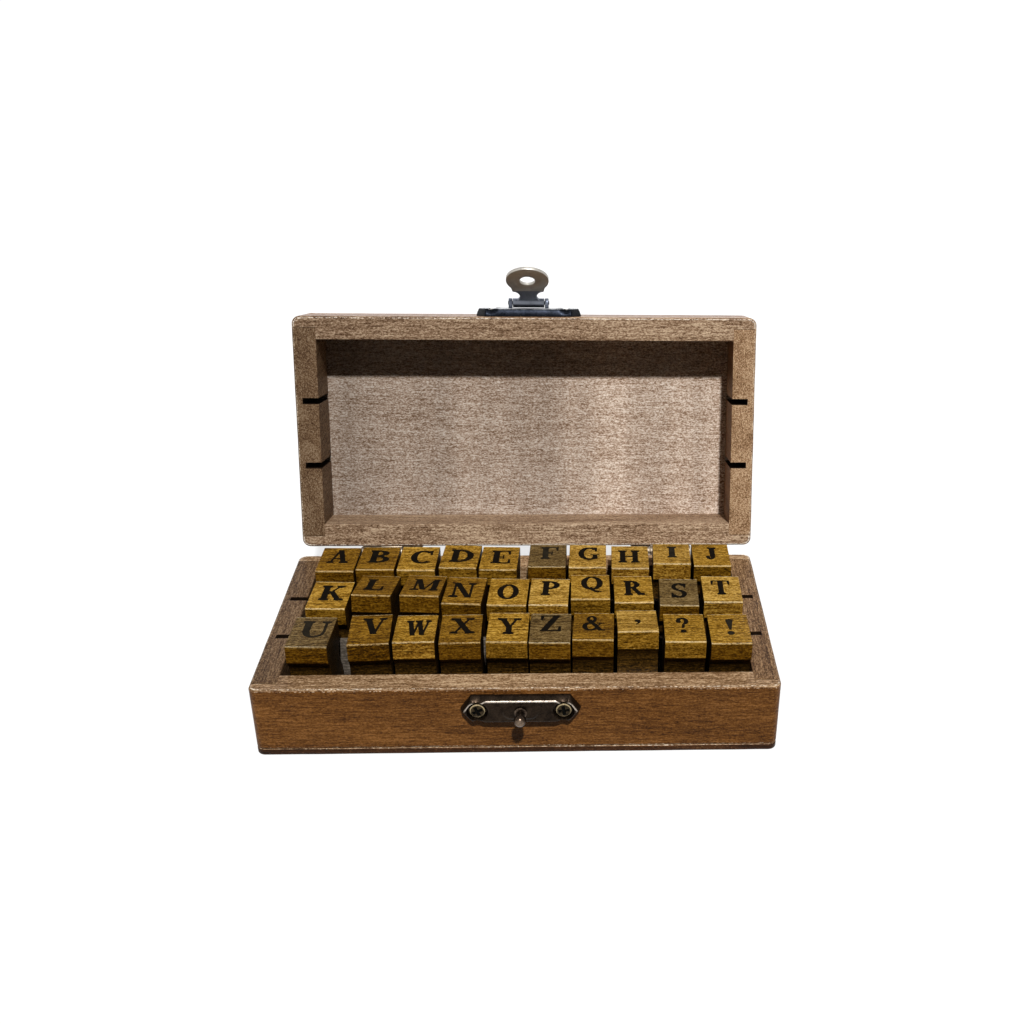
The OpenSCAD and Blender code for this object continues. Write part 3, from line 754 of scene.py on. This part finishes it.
ARM_E = bar(2, 9.2, 7, CAP) + beak(6.9, 6.9, 9.9) + bar(2, 4.6, 4.8, 5.4) + bar(4.4, 3.5, 5, 6.5)
LETTERS = {
    "a": slant(1.5, 4.1, 0.95) + slant(6.9, 4.3, 2.2) + bar(2.4, 2.9, 6, 3.7)
         + serif(1.5, 1.5, 0.95) + serif(6.8, 1.8, 2.2),
    "b": stem(2) + bowl(5, CAP, 7.2) + bowl(0, 5.6, 7.8),
    "c": ring(4.7, 5, 4.5, 5.1, 45, 315) + beak(7.6, 6.5, 9.9),
    "d": stem(2) + bowl(0, CAP, 8.8),
    "e": stem(2) + ARM_E + bar(2, 0, 7.2, 0.8) + beak(7.1, 3.2, 0.1),
    "f": stem(2) + ARM_E,
    "g": ring(4.7, 5, 4.5, 5.1, 45, 330) + beak(7.5, 6.6, 9.9) + bar(6.1, 0.8, 8.1, 4.2)
         + bar(5.2, 3.7, 9, 4.4),
    "h": stem(2) + stem(7.4) + bar(2, 4.6, 7.4, 5.5),
    "i": stem(2),
    "j": stem(3, low=2.3, foot=0) + ring(2, 2.4, 2.05, 2.5, 195, 360, 1.95) + drop(0.9, 2.1, 0.95),
    "k": stem(2) + slant(2.9, 7.2, 1, 4) + slant(7.7, 3.9, 2.3, 0, 6.3) + serif(7, 1.6, 1, CAP)
         + serif(7.6, 1.8, 2.2),
    "l": stem(2) + bar(2, 0, 7, 0.8) + beak(6.9, 3.6, 0.1),
    "m": stem(1.6, 0.95, cap=0) + stem(9.4, STEM, cap=0) + slant(5.1, 2, 2.3, 0.6)
         + slant(5.4, 8.9, 0.95, 0.6) + bar(0.2, 9.3, 2.6, CAP) + bar(8.4, 9.3, 11.2, CAP),
    "n": stem(1.6, 0.95, cap=0) + stem(8, 0.95, foot=0, cap=1.5) + slant(7.4, 2, 2.4)
         + bar(0.2, 9.3, 2.6, CAP),
    "o": oval(4.6, 5, 4.4, 5.1),
    "p": stem(2) + bowl(4.2, CAP, 7.6),
    "q": oval(4.6, 5, 4.4, 5.1) + [[(3.2, 1.4), (4.4, 2.2), (5.9, -0.4), (8.2, -1), (8.4, -1.7),
                                    (6.2, -2), (4.2, -0.6)]],
    "r": stem(2) + bowl(4.6, CAP, 7.2) + slant(7.4, 4.2, 2.3, 0, 5.2) + serif(7.6, 1.6, 2.2),
    "s": ring(2.9, 7.4, 2.6, 2.7, 20, 180, 1.6) + ring(2.9, 7.4, 2.6, 2.7, 180, 270, 1.6, 1.3)
         + ring(2.9, 2.7, 2.9, 2.8, -160, 0, 1.8) + ring(2.9, 2.7, 2.9, 2.8, 0, 90, 1.8, 1.3)
         + beak(5.1, 6.8, 9.9) + beak(0.6, 3.2, 0.1, 0.5),
    "t": stem(4.2, cap=0) + bar(0.3, 9.2, 8.1, CAP) + beak(0.5, 6.9, 9.9, 0.4)
         + beak(7.9, 6.9, 9.9),
    "u": stem(2, low=3.2, foot=0) + stem(7.7, 0.95, 3.2, 0, 1.5)
         + ring(4.55, 3.3, 3.6, 3.4, 180, 270, STEM, 0.95)
         + ring(4.55, 3.3, 3.6, 3.4, 270, 360, 0.95, 0.95),
    "v": slant(4.5, 1.9, 2.3) + slant(4.6, 7.4, 0.95) + serif(1.9, 1.8, 2.3, CAP)
         + serif(7.4, 1.4, 0.95, CAP),
    "w": slant(3.3, 1.6, 2) + slant(3.5, 5.2, 0.9) + slant(7, 5.2, 2) + slant(7.2, 9, 0.9)
         + serif(1.6, 1.5, 2, CAP) + serif(5.2, 1.5, 1.6, CAP) + serif(9, 1.2, 0.9, CAP),
    "x": slant(7, 2, 2.3) + slant(1.7, 6.9, 1) + serif(7.1, 1.7, 2.3) + serif(1.6, 1.4, 1)
         + serif(2, 1.7, 2.3, CAP) + serif(6.9, 1.4, 1, CAP),
    "y": slant(4.4, 1.9, 2.2, 4.4) + slant(4.7, 7.2, 1, 4.4) + bar(3.4, 0, 5.5, 5)
         + serif(4.4, 1.9, STEM) + serif(1.9, 1.7, 2.2, CAP) + serif(7.2, 1.4, 1, CAP),
    "z": slant(1.7, 6.2, 2.3) + bar(0.8, 9.2, 7.3, CAP) + bar(0.6, 0, 7.3, 0.8)
         + beak(1.1, 7.1, 9.9, 0.4) + beak(7.2, 3.1, 0.1),
    "ampersand": oval(3.2, 2.8, 3.1, 2.9, 1.9, 1) + oval(3.7, 7.7, 2, 2.4, 1.2, 1.3)
                 + slant(7.5, 2.6, 2, 0, 7.4) + slant(5, 7.3, 0.9, 1.4, 5)
                 + bar(5.9, 4.7, 8.7, 5.4) + bar(6.8, 0, 9, 0.7),
    "apostrophe": drop(1.1, 3.3, 1.1) + [[(0.9, 2.3), (2.2, 3.2), (1.9, 1.6), (0.6, 0),
                                          (0.2, 0.3), (1.1, 1.5)]],
    "question": ring(2.2, 7.6, 2.3, 2.4, -75, 175, 1.6) + slant(2.4, 2.6, 1, 3.2, 5.7)
                + drop(2.4, 1.1, 1.1) + drop(0.9, 7.4, 0.95),
    "exclamation": [[(0.95, 3.2), (1.65, 3.2), (2.5, 8.9), (0.1, 8.9)]]
                   + drop(1.3, 8.8, 1.2) + drop(1.3, 1.2, 1.2),
}

# How each block was stained and stamped: its stain, the letter's width and where its middle
# lies from the middle of the top, to the right and to the back, in millimetres
PRINTS = {
    "a": ("amber", 6.7, -0.2, 1.9), "b": ("amber", 6.6, 0.2, 1.2), "c": ("gold", 6.8, 0.8, 0.8),
    "d": ("gold", 7.5, 0.4, 0.4), "e": ("gold", 6.2, 0.4, 0.8), "f": ("grey", 5.6, 0.6, 1.9),
    "g": ("honey", 6.9, 0.4, 1.6), "h": ("honey", 6.8, -0.3, 0.4), "i": ("honey", 3.1, 0.2, 1.3),
    "j": ("gold", 3.6, 0.1, 1), "k": ("gold", 7.5, 0.6, 1.2), "l": ("amber", 5.9, -0.4, 0.7),
    "m": ("amber", 8.7, 0.5, 0.6), "n": ("amber", 7.7, -0.7, 0.2), "o": ("gold", 6.6, -0.1, 0),
    "p": ("honey", 5.6, 0.2, 2.1), "q": ("gold", 6.8, 0.5, 1.6), "r": ("gold", 6.4, 0.3, 0.7),
    "s": ("grey", 4.8, 0.1, 1), "t": ("honey", 5.9, -0.2, 0.9), "u": ("grey", 8.2, 0.8, 1.4),
    "v": ("amber", 7, 1.1, 1.7), "w": ("gold", 7.2, 0.7, 0.3), "x": ("amber", 7.3, 0.4, 1.5),
    "y": ("gold", 7, 0.2, 0.6), "z": ("grey", 6.2, 0, 2.6), "ampersand": ("amber", 6.7, 0, 1.8),
    "apostrophe": ("honey", 1.9, 0.1, -1), "question": ("gold", 3.8, -0.5, 1.4),
    "exclamation": ("gold", 2.2, 0.3, 1),
}
FADED = ("f", "i", "u", "exclamation")
# Blocks whose front and back take another painted-shade tone than the _front copy of their top's
# tone
FRONTS = {"grey": "amber_front", "w": "honey_front", "exclamation": "amber_front",
          "apostrophe": "gold_front"}


def finer(shape):
    """The same outline with more points, so that its edge can be rough."""
    points = []
    for (ax, ay), (bx, by) in zip(shape, shape[1:] + shape[:1]):
        count = max(1, math.ceil(math.hypot(bx - ax, by - ay) / POINT_GAP))
        points += [(ax + (bx - ax) * k / count, ay + (by - ay) * k / count)
                   for k in range(count)]
    return points


def letter(name, low, high, roughness=0.0, mirror=1):
    """A letter as a thin closed solid, centred, at its own width."""
    ends, outlines = [], []
    for shape in LETTERS[name]:
        area = sum(a[0] * b[1] - b[0] * a[1] for a, b in zip(shape, shape[1:] + shape[:1]))
        points = finer(shape if area > 0 else shape[::-1])
        outlines.append(list(range(len(ends), len(ends) + len(points))))
        ends += [Vector(p) for p in points]
    spots, _, parts, _, _, sources = delaunay_2d_cdt(ends, [], outlines, 1, ONE_POINT)
    bm = bmesh.new()
    verts = [bm.verts.new((p.x, p.y, 0)) for p in spots]
    faces = [bm.faces.new([verts[k] for k in part]) for part, source in zip(parts, sources)
             if source]
    bmesh.ops.delete(bm, geom=[v for v in verts if not v.link_faces], context="VERTS")
    left, right = corners([v.co for v in bm.verts])
    middle = (left + right) / 2
    widen = PRINTS[name][1] * MM / (right.x - left.x)
    for v in bm.verts:
        rough = noise.noise_vector(v.co * EDGE_WAVES + Vector((0, 0, len(ends)))) * roughness
        spot = v.co - middle
        v.co = Vector((spot.x * widen * mirror + rough.x, spot.y * UNIT + rough.y, low))
    raise_faces(bm, faces, high - low)
    return bm


# Stamps

def stamp_place(node):
    """The axes of a stamp as it stands, with the middle of its foot as the origin."""
    mesh = frame["nodes"][node].data
    upward = [p for p in mesh.polygons if p.normal.z > 0.9]
    up = max(upward, key=lambda p: p.center.z).normal.copy()
    right = max(mesh.polygons, key=lambda p: p.normal.x).normal.copy()
    back = up.cross(right)
    axes = Matrix((right, back, up))
    low, high = corners([axes @ v.co for v in mesh.vertices])
    foot = Vector(((low.x + high.x) / 2, (low.y + high.y) / 2, low.z))
    turned = axes.transposed()
    return Matrix.Translation(turned @ foot) @ turned.to_4x4(), high - low


def block_outline(depth, height):
    """Side view of the wooden block: Y and Z, with a round finger groove front and back."""
    foot = RUBBER + FOAM
    centre = height - HEAD - GROOVE / 2
    radius = ((GROOVE / 2) ** 2 + GROOVE_DEPTH ** 2) / (2 * GROOVE_DEPTH)
    reach = math.asin(GROOVE / 2 / radius)
    count = 10
    groove = []
    for k in range(count + 1):
        angle = -reach + 2 * reach * k / count
        groove.append((depth / 2 - GROOVE_DEPTH + radius - radius * math.cos(angle),
                       centre + radius * math.sin(angle)))
    back_side = [(depth / 2, foot)] + groove + [(depth / 2, height)]
    return back_side + [(-y, z) for y, z in reversed(back_side)]


# Turns a solid drawn in its side view upright, with its thickness along X
ON_SIDE = Matrix(((0, 0, 1, 0), (1, 0, 0, 0), (0, 1, 0, 0), (0, 0, 0, 1)))


def across_top(edge, size):
    """Whether an edge is the front or the back edge of a block's top."""
    ends = [v.co for v in edge.verts]
    return (all(end.z > size.z - SLACK for end in ends)
            and abs(ends[0].x - ends[1].x) > size.x / 2)


def stamp(node):
    """A stamp: its block, its foam cushion, its rubber, and the letter below and on top."""
    name = node.removeprefix("stamp_")
    stain, _, letter_x, letter_y = PRINTS[name]
    place, size = stamp_place(node)
    bm = prism(block_outline(size.y, size.z), -size.x / 2, size.x / 2)
    bmesh.ops.transform(bm, matrix=ON_SIDE, verts=bm.verts)
    # The front and back edges of the top are palest: partly rubbed, partly a painted highlight
    ease(bm, STAMP_EASE, 3, lambda e: across_top(e, size), 1.0)
    ease(bm, STAMP_EASE, 3, None, 0.5)
    score(bm, NARROW_WEAR_BAND, 0, pitch=2 * MM)
    wear_down(bm, STAMP_WAVER, waves=300)
    groove_top, groove_low = size.z - HEAD - STAMP_EASE, size.z - HEAD - GROOVE
    # Tops take the block's stain; fronts and backs its darker _front copy, and the finger grooves
    # and end faces the deep tone, both painted shade
    for face in bm.faces:
        in_groove = groove_low < face.calc_center_median().z < groove_top
        if face.normal.z > TOP_FACING and not in_groove:
            face.material_index = 0
        else:
            face.material_index = 2 if in_groove or abs(face.normal.x) > END_FACING else 1
    front = FRONTS.get(name) or FRONTS.get(stain) or stain + "_front"
    skins = [STAIN_AND_SHADE_WOODS[stain], STAIN_AND_SHADE_WOODS[front], STAIN_AND_SHADE_WOODS["deep"]]
    put(bm, node + "_block", node, skins, place, node)

    x, y = size.x / 2 - FOOT_INSET, size.y / 2 - FOOT_INSET
    for layer, low, high, width, segments, amount, material in (
            ("_cushion", RUBBER, RUBBER + FOAM - GLUE, CUSHION_EASE, 3, CUSHION_WAVER, foam_black),
            ("_rubber", RUBBER_BACK, RUBBER - GLUE, RUBBER_EASE, 2, RUBBER_WAVER, rubber_grey)):
        bm = block((-x, -y, low), (x, y, high))
        ease(bm, width, segments)
        wear_down(bm, amount, waves=400)
        put(bm, node + layer, node, material, place, node)

    bm = letter(name, 0, RUBBER_BACK + GLUE, mirror=-1)
    put(bm, node + "_die", node, rubber_grey, place, node)
    bm = letter(name, size.z - PRINT_SUNK, size.z + PRINT_RISE, INK_BLEED)
    bmesh.ops.translate(bm, verts=bm.verts, vec=(letter_x * MM, letter_y * MM, 0))
    put(bm, node + "_print", node, faded_ink if name in FADED else ink, place, node)


for node in STAMPS:
    stamp(node)


# Latch and hinges

# Turns a plate from its back up against the front of the box
ON_FRONT = Matrix.Rotation(math.radians(90), 4, "X")


def plate_place(place, node):
    """Axes of a latch plate: X along it, Y up it, Z out of the wood, from its middle."""
    low, high = measured(place, node)
    middle = Matrix.Translation(((low.x + high.x) / 2, high.y, (low.z + high.z) / 2))
    return place @ middle @ ON_FRONT


def relief(columns, rows, spot, surface, low):
    """A closed solid over a grid: spot places a point in plan, surface gives height and wear, where
    the wear also lays a painted highlight.
    """
    bm = bmesh.new()
    worn = bm.verts.layers.float.new("worn")
    bmesh.ops.create_grid(bm, x_segments=columns, y_segments=rows, size=1)
    grown = bmesh.ops.extrude_face_region(bm, geom=bm.faces[:])["geom"]
    tops = {v for v in grown if isinstance(v, bmesh.types.BMVert)}
    for v in bm.verts:
        x, y = spot(v.co.x, v.co.y)
        height, rubbed_and_highlight = surface(x, y)
        v.co = (x, y, height if v in tops else low)
        v[worn] = rubbed_and_highlight
    bmesh.ops.recalc_face_normals(bm, faces=bm.faces)
    return bm


def plate_spot(across, up):
    """Where a point of the grid lies on a plate with pointed ends."""
    half = PLATE_TIP - (PLATE_TIP - PLATE_FLAT) * abs(up)
    return across * half, up * PLATE_HALF


def plate_surface(x, y):
    """Pressed sheet: sloping sides that widen over the screws, and two sunken seats."""
    slope = (PLATE_TIP - PLATE_FLAT) / PLATE_HALF
    tip_room = (PLATE_TIP - slope * abs(y) - abs(x)) / math.hypot(1, slope)
    edge = min(PLATE_HALF - abs(y), tip_room)
    side = PLATE_SIDE + SIDE_WIDENS * bell((abs(x) - SCREW_AT) / (2.6 * MM))
    height = PLATE_RIM + (PLATE_RISE - PLATE_RIM) * (1 - (1 - min(edge / side, 1)) ** 1.7)
    from_screw = math.hypot(abs(x) - SCREW_AT, y)
    seat = PLATE_RISE - SEAT_DEPTH * (1 - step(SEAT_RADIUS - SEAT_LIP,
                                               SEAT_RADIUS + SEAT_LIP, from_screw))
    # The crest is paler: partly rubbed, partly a painted highlight
    rubbed_and_highlight = bell((edge - side) / (0.5 * MM))
    if from_screw < SEAT_RADIUS:
        rubbed_and_highlight = 0
    return min(height, seat), rubbed_and_highlight


def catch_surface(x, y):
    """The catch's plate, paler along its upper crest, partly rubbed and partly a painted highlight,
    with a low boss and two small dents.
    """
    height, rubbed_and_highlight = plate_surface(x, y)
    rubbed_and_highlight *= step(-2 * MM, 1 * MM, y)
    from_boss = math.hypot(max(abs(x) - BOSS_HALF, 0), y)
    height += BOSS_RISE * (1 - step(2 * MM, 2.7 * MM, from_boss))
    for dent_x, dent_y in DENTS:
        height -= DENT_DEPTH * bell(math.hypot(x - dent_x, y - dent_y) / DENT_RADIUS)
    return height, rubbed_and_highlight


def disc_spot(across, up):
    """Where a point of the square grid lies on a round screw head."""
    return (across * math.sqrt(1 - up ** 2 / 2) * SCREW_RADIUS,
            up * math.sqrt(1 - across ** 2 / 2) * SCREW_RADIUS)


def screw_surface(x, y):
    """A domed head with a cross recess that deepens towards its middle."""
    seat = PLATE_RISE - SEAT_DEPTH
    out = math.hypot(x, y)
    dome = math.sqrt(max(1 - (out / (SCREW_RADIUS + 0.1 * MM)) ** 2, 0))
    height = seat + SCREW_RIM + SCREW_DOME * dome
    arm, along = sorted((abs(x), abs(y)))
    inside = ((1 - step(SLOT_HALF - 0.06 * MM, SLOT_HALF + 0.06 * MM, arm))
              * (1 - step(SLOT_REACH - 0.1 * MM, SLOT_REACH + 0.05 * MM, along)))
    height -= inside * (SLOT_DEPTH - SLOT_SLOPE * along)
    # The head's rim is paler: partly rubbed, partly a painted highlight
    rubbed_and_highlight = bell((out - SCREW_RADIUS + 0.3 * MM) / (0.35 * MM)) * (1 - inside)
    return height, rubbed_and_highlight


def plate_screws(node, body, place, turns):
    """Two screws in their seats, each turned its own way."""
    for (side, name), turn in zip(SIDES, turns):
        bm = relief(60, 60, disc_spot, screw_surface, PLATE_RISE - SEAT_DEPTH)
        shank = bmesh.ops.create_cone(bm, cap_ends=True, segments=20, radius1=SHANK_TIP,
                                      radius2=SHANK_TOP, depth=SHANK_LENGTH)
        sunk = PLATE_RISE - SEAT_DEPTH - SHANK_LENGTH / 2
        bmesh.ops.translate(bm, verts=shank["verts"], vec=(0, 0, sunk))
        where = (place @ Matrix.Translation((side * SCREW_AT, 0, 0))
                 @ Matrix.Rotation(math.radians(turn), 4, "Z"))
        # The faces of the cross recess take the painted shade
        for face in bm.faces:
            spot = face.calc_center_median()
            arm, along = sorted((abs(spot.x), abs(spot.y)))
            face.material_index = int(arm < SLOT_HALF and along < SLOT_REACH and spot.z > 0)
        put(bm, f"{node}_{name}", body, [screw_metal, slot_painted_shade], where, node)


def stud(place):
    """Collar, waisted shank and ball, turned in one piece."""
    foot = PLATE_RISE - STUD_FOOT
    ball_z = PLATE_RISE + STUD_OUT
    profile = [(0, foot), (1.3 * MM, foot), (1.3 * MM, PLATE_RISE), (BALL, PLATE_RISE),
               (BALL, 3.3 * MM), (1.6 * MM, 3.45 * MM), (1.25 * MM, 3.5 * MM),
               (1.15 * MM, 4.3 * MM)]
    for k in range(9):
        turn = math.radians(-50 + 140 * k / 8)
        profile.append((BALL * math.cos(turn) if k < 8 else 0, ball_z + BALL * math.sin(turn)))
    bm = bmesh.new()
    verts = [bm.verts.new((x, 0, z)) for x, z in profile]
    edges = [bm.edges.new(pair) for pair in zip(verts, verts[1:])]
    bmesh.ops.spin(bm, geom=verts + edges, cent=(0, 0, 0), axis=(0, 0, 1),
                   angle=math.tau, steps=32, use_merge=True)
    bmesh.ops.remove_doubles(bm, verts=bm.verts, dist=TOUCHING)
    bmesh.ops.recalc_face_normals(bm, faces=bm.faces)
    worn = bm.verts.layers.float.new("worn")
    # The ball and the collar are paler: partly rubbed, partly a painted highlight
    for v in bm.verts:
        on_ball = step(ball_z, ball_z + BALL, v.co.z)
        on_collar = bell((v.co.z - 3.4 * MM) / MM)
        v[worn] = 0.75 * on_ball + 0.5 * on_collar
    put(bm, "catch_stud_turned", "base", stud_metal, place, "catch_stud")


def hasp_lugs(place):
    """Two upright ears that carry the flap's pin."""
    for side, name in SIDES:
        foot = PLATE_RISE - PLATE_RIM
        outline = [(KNUCKLE, foot), (KNUCKLE, PIN_OUT)]
        for k in range(1, 12):
            turn = math.pi * k / 12
            outline.append((KNUCKLE * math.cos(turn), PIN_OUT + KNUCKLE * math.sin(turn)))
        outline += [(-KNUCKLE, PIN_OUT), (-KNUCKLE, foot)]
        bm = prism(outline, -LUG_WIDTH / 2, LUG_WIDTH / 2)
        bmesh.ops.transform(bm, matrix=ON_SIDE, verts=bm.verts)
        ease(bm, LUG_EASE, 2, None, 0.3)
        wear_down(bm, LUG_WAVER, waves=400)
        bmesh.ops.translate(bm, verts=bm.verts, vec=(side * LUG_AT, 0, 0))
        put(bm, "hasp_lug_" + name, "lid", neck_painted_reflection, place, "hasp_plate")


def past_neck(face):
    """Whether a face of the flap lies beyond the bend, on its head."""
    return (face.calc_center_median() - FLAP_PIN).length > FLAP_NECK


def eased_copy(node, body, width, skin):
    """A metal piece of the frame with its doubles merged and its edges eased."""
    bm = bmesh.new()
    bm.from_mesh(frame["nodes"][node].data)
    bmesh.ops.remove_doubles(bm, verts=bm.verts, dist=WELD)
    bmesh.ops.dissolve_limit(bm, angle_limit=math.radians(0.5), verts=bm.verts, edges=bm.edges)
    ease(bm, width, 2)
    wear_down(bm, METAL_WAVER, waves=400)
    for face in bm.faces:
        # The flap's neck takes the painted-reflection copy of the plating, its head the plain
        # plating
        face.material_index = int(body == "flap" and past_neck(face))
    put(bm, node + "_metal", body, skin, CLOSED, node)


catch_place = plate_place(CLOSED, "catch_plate")
hasp_place = plate_place(OPENED, "hasp_plate")
put(relief(136, 36, plate_spot, catch_surface, 0), "catch_plate_pressed", "base", latch_metal,
    catch_place, "catch_plate")
put(relief(136, 36, plate_spot, plate_surface, 0), "hasp_plate_pressed", "lid", hasp_metal,
    hasp_place, "hasp_plate")
plate_screws("catch_plate_screws", "base", catch_place, (25, 8))
plate_screws("hasp_plate_screws", "lid", hasp_place, (40, 70))
stud(catch_place)
hasp_lugs(hasp_place)
eased_copy("hasp_flap", "flap", FLAP_EASE, [neck_painted_reflection, flap_metal])
for _, side in SIDES:
    for body in ("base", "lid"):
        eased_copy(f"{side}_hinge_{body}_leaf", body, LEAF_EASE, hinge_metal)

# The pins and the screws of the hinges keep the frame's own solids
for node, thing in frame["nodes"].items():
    if not thing.hide_render:
        thing.data.materials.clear()
        thing.data.materials.append(hinge_metal if "hinge" in node else hasp_metal)


# Floor, light and camera

WHITE_FLOOR_GLOW = 0.74
FLOOR_SHADOW = 0.28
FLOOR_BOUNCE = 0.06
DIM_WORLD = 0.022
FLOOR_HALF = 4


def white_for_camera(tree, kind, strength):
    """A white shader, and whether the camera, gloss or glass looks there."""
    path = node_of(tree, "ShaderNodeLightPath")
    seen = path.outputs["Is Camera Ray"]
    for ray in ("Is Glossy Ray", "Is Transmission Ray"):
        seen = node_of(tree, "ShaderNodeMath", {0: seen, 1: path.outputs[ray]},
                       operation="MAXIMUM").outputs[0]
    white = node_of(tree, kind, {"Color": (1, 1, 1, 1), "Strength": strength})
    return seen, white.outputs[0]


def stage():
    """A floor that the camera sees white, with the shadow of the box on it."""
    bm = bmesh.new()
    bmesh.ops.create_grid(bm, x_segments=1, y_segments=1, size=FLOOR_HALF)
    mesh = bpy.data.meshes.new("floor")
    bm.to_mesh(mesh)
    bm.free()
    floor = add("floor", mesh)
    material, tree, shader = new_material("white_floor")
    tree.nodes.remove(shader)
    bounce = node_of(tree, "ShaderNodeBsdfDiffuse", {"Color": grey(FLOOR_BOUNCE)})
    seen, glow = white_for_camera(tree, "ShaderNodeEmission", WHITE_FLOOR_GLOW)
    shadow = node_of(tree, "ShaderNodeBsdfDiffuse", {"Color": grey(FLOOR_SHADOW)})
    white = node_of(tree, "ShaderNodeAddShader", {0: shadow.outputs[0], 1: glow})
    both = node_of(tree, "ShaderNodeMixShader",
                   {0: seen, 1: bounce.outputs[0], 2: white.outputs[0]})
    tree.links.new(both.outputs[0], tree.nodes["Material Output"].inputs["Surface"])
    mesh.materials.append(material)


def world():
    """White for the camera, and a dim light on the box."""
    made = bpy.data.worlds.new("studio")
    bpy.context.scene.world = made
    made.use_nodes = True
    tree = made.node_tree
    tree.nodes.clear()
    dim = node_of(tree, "ShaderNodeBackground", {"Color": (1, 1, 1, 1), "Strength": DIM_WORLD})
    seen, white = white_for_camera(tree, "ShaderNodeBackground", 1.0)
    both = node_of(tree, "ShaderNodeMixShader", {0: seen, 1: dim.outputs[0], 2: white})
    node_of(tree, "ShaderNodeOutputWorld", {"Surface": both.outputs[0]})


def lamp(name, kind, energy, azimuth, elevation, reach=1.0, **settings):
    """A lamp that looks at the box from that side (0 is the front) and that height."""
    made = bpy.data.lights.new(name, kind)
    made.energy = energy
    for key, value in settings.items():
        setattr(made, key, value)
    around, up = math.radians(azimuth), math.radians(elevation)
    towards = Vector((math.sin(around) * math.cos(up), -math.cos(around) * math.cos(up),
                      math.sin(up)))
    thing = add(name, made)
    thing.location = towards * reach
    thing.rotation_euler = towards.to_track_quat("Z", "Y").to_euler()


# Camera: where it stands, how it is turned, and the photograph's frame in pixels
CAMERA_AT = Vector((17.2, -320.7, 227.6)) * MM
PITCH = math.radians(28.501)
YAW = math.radians(-3.083)
ROLL = math.radians(1.321)
IMAGE = 1024
FOCAL = 1229.3
PRINCIPAL = (636.2, 527.9)
# The sensor's width in millimetres, and the nearest and farthest that the camera sees
SENSOR = 36
CLIP = (0.01, 20)


def camera():
    """The camera that took the photograph, as its picture of the box gives it."""
    lens = bpy.data.cameras.new("camera")
    lens.sensor_width = SENSOR
    lens.lens = FOCAL / IMAGE * SENSOR
    lens.shift_x = (IMAGE / 2 - PRINCIPAL[0]) / IMAGE
    lens.shift_y = (PRINCIPAL[1] - IMAGE / 2) / IMAGE
    lens.clip_start, lens.clip_end = CLIP
    right = Vector((math.cos(YAW), math.sin(YAW), 0))
    ahead = Vector((-math.sin(YAW), math.cos(YAW), 0))
    forward = ahead * math.cos(PITCH) - Vector((0, 0, math.sin(PITCH)))
    up = right.cross(forward)
    rolled_right = right * math.cos(ROLL) + up * math.sin(ROLL)
    rolled_up = up * math.cos(ROLL) - right * math.sin(ROLL)
    turned = Matrix((rolled_right, rolled_up, -forward)).transposed()
    thing = add("camera", lens)
    thing.matrix_world = Matrix.Translation(CAMERA_AT) @ turned.to_4x4()
    bpy.context.scene.camera = thing


stage()
world()
lamp("key", "SUN", 3.95, azimuth=10, elevation=56, angle=math.radians(3))
lamp("back_fill", "AREA", 3.0, azimuth=180, elevation=22, size=0.6)
lamp("left_fill", "AREA", 0.3, azimuth=-80, elevation=35, reach=0.8, size=0.35)
lamp("right_fill", "AREA", 0.15, azimuth=80, elevation=35, reach=0.8, size=0.35)
camera()
bpy.context.scene.view_settings.view_transform = "Standard"
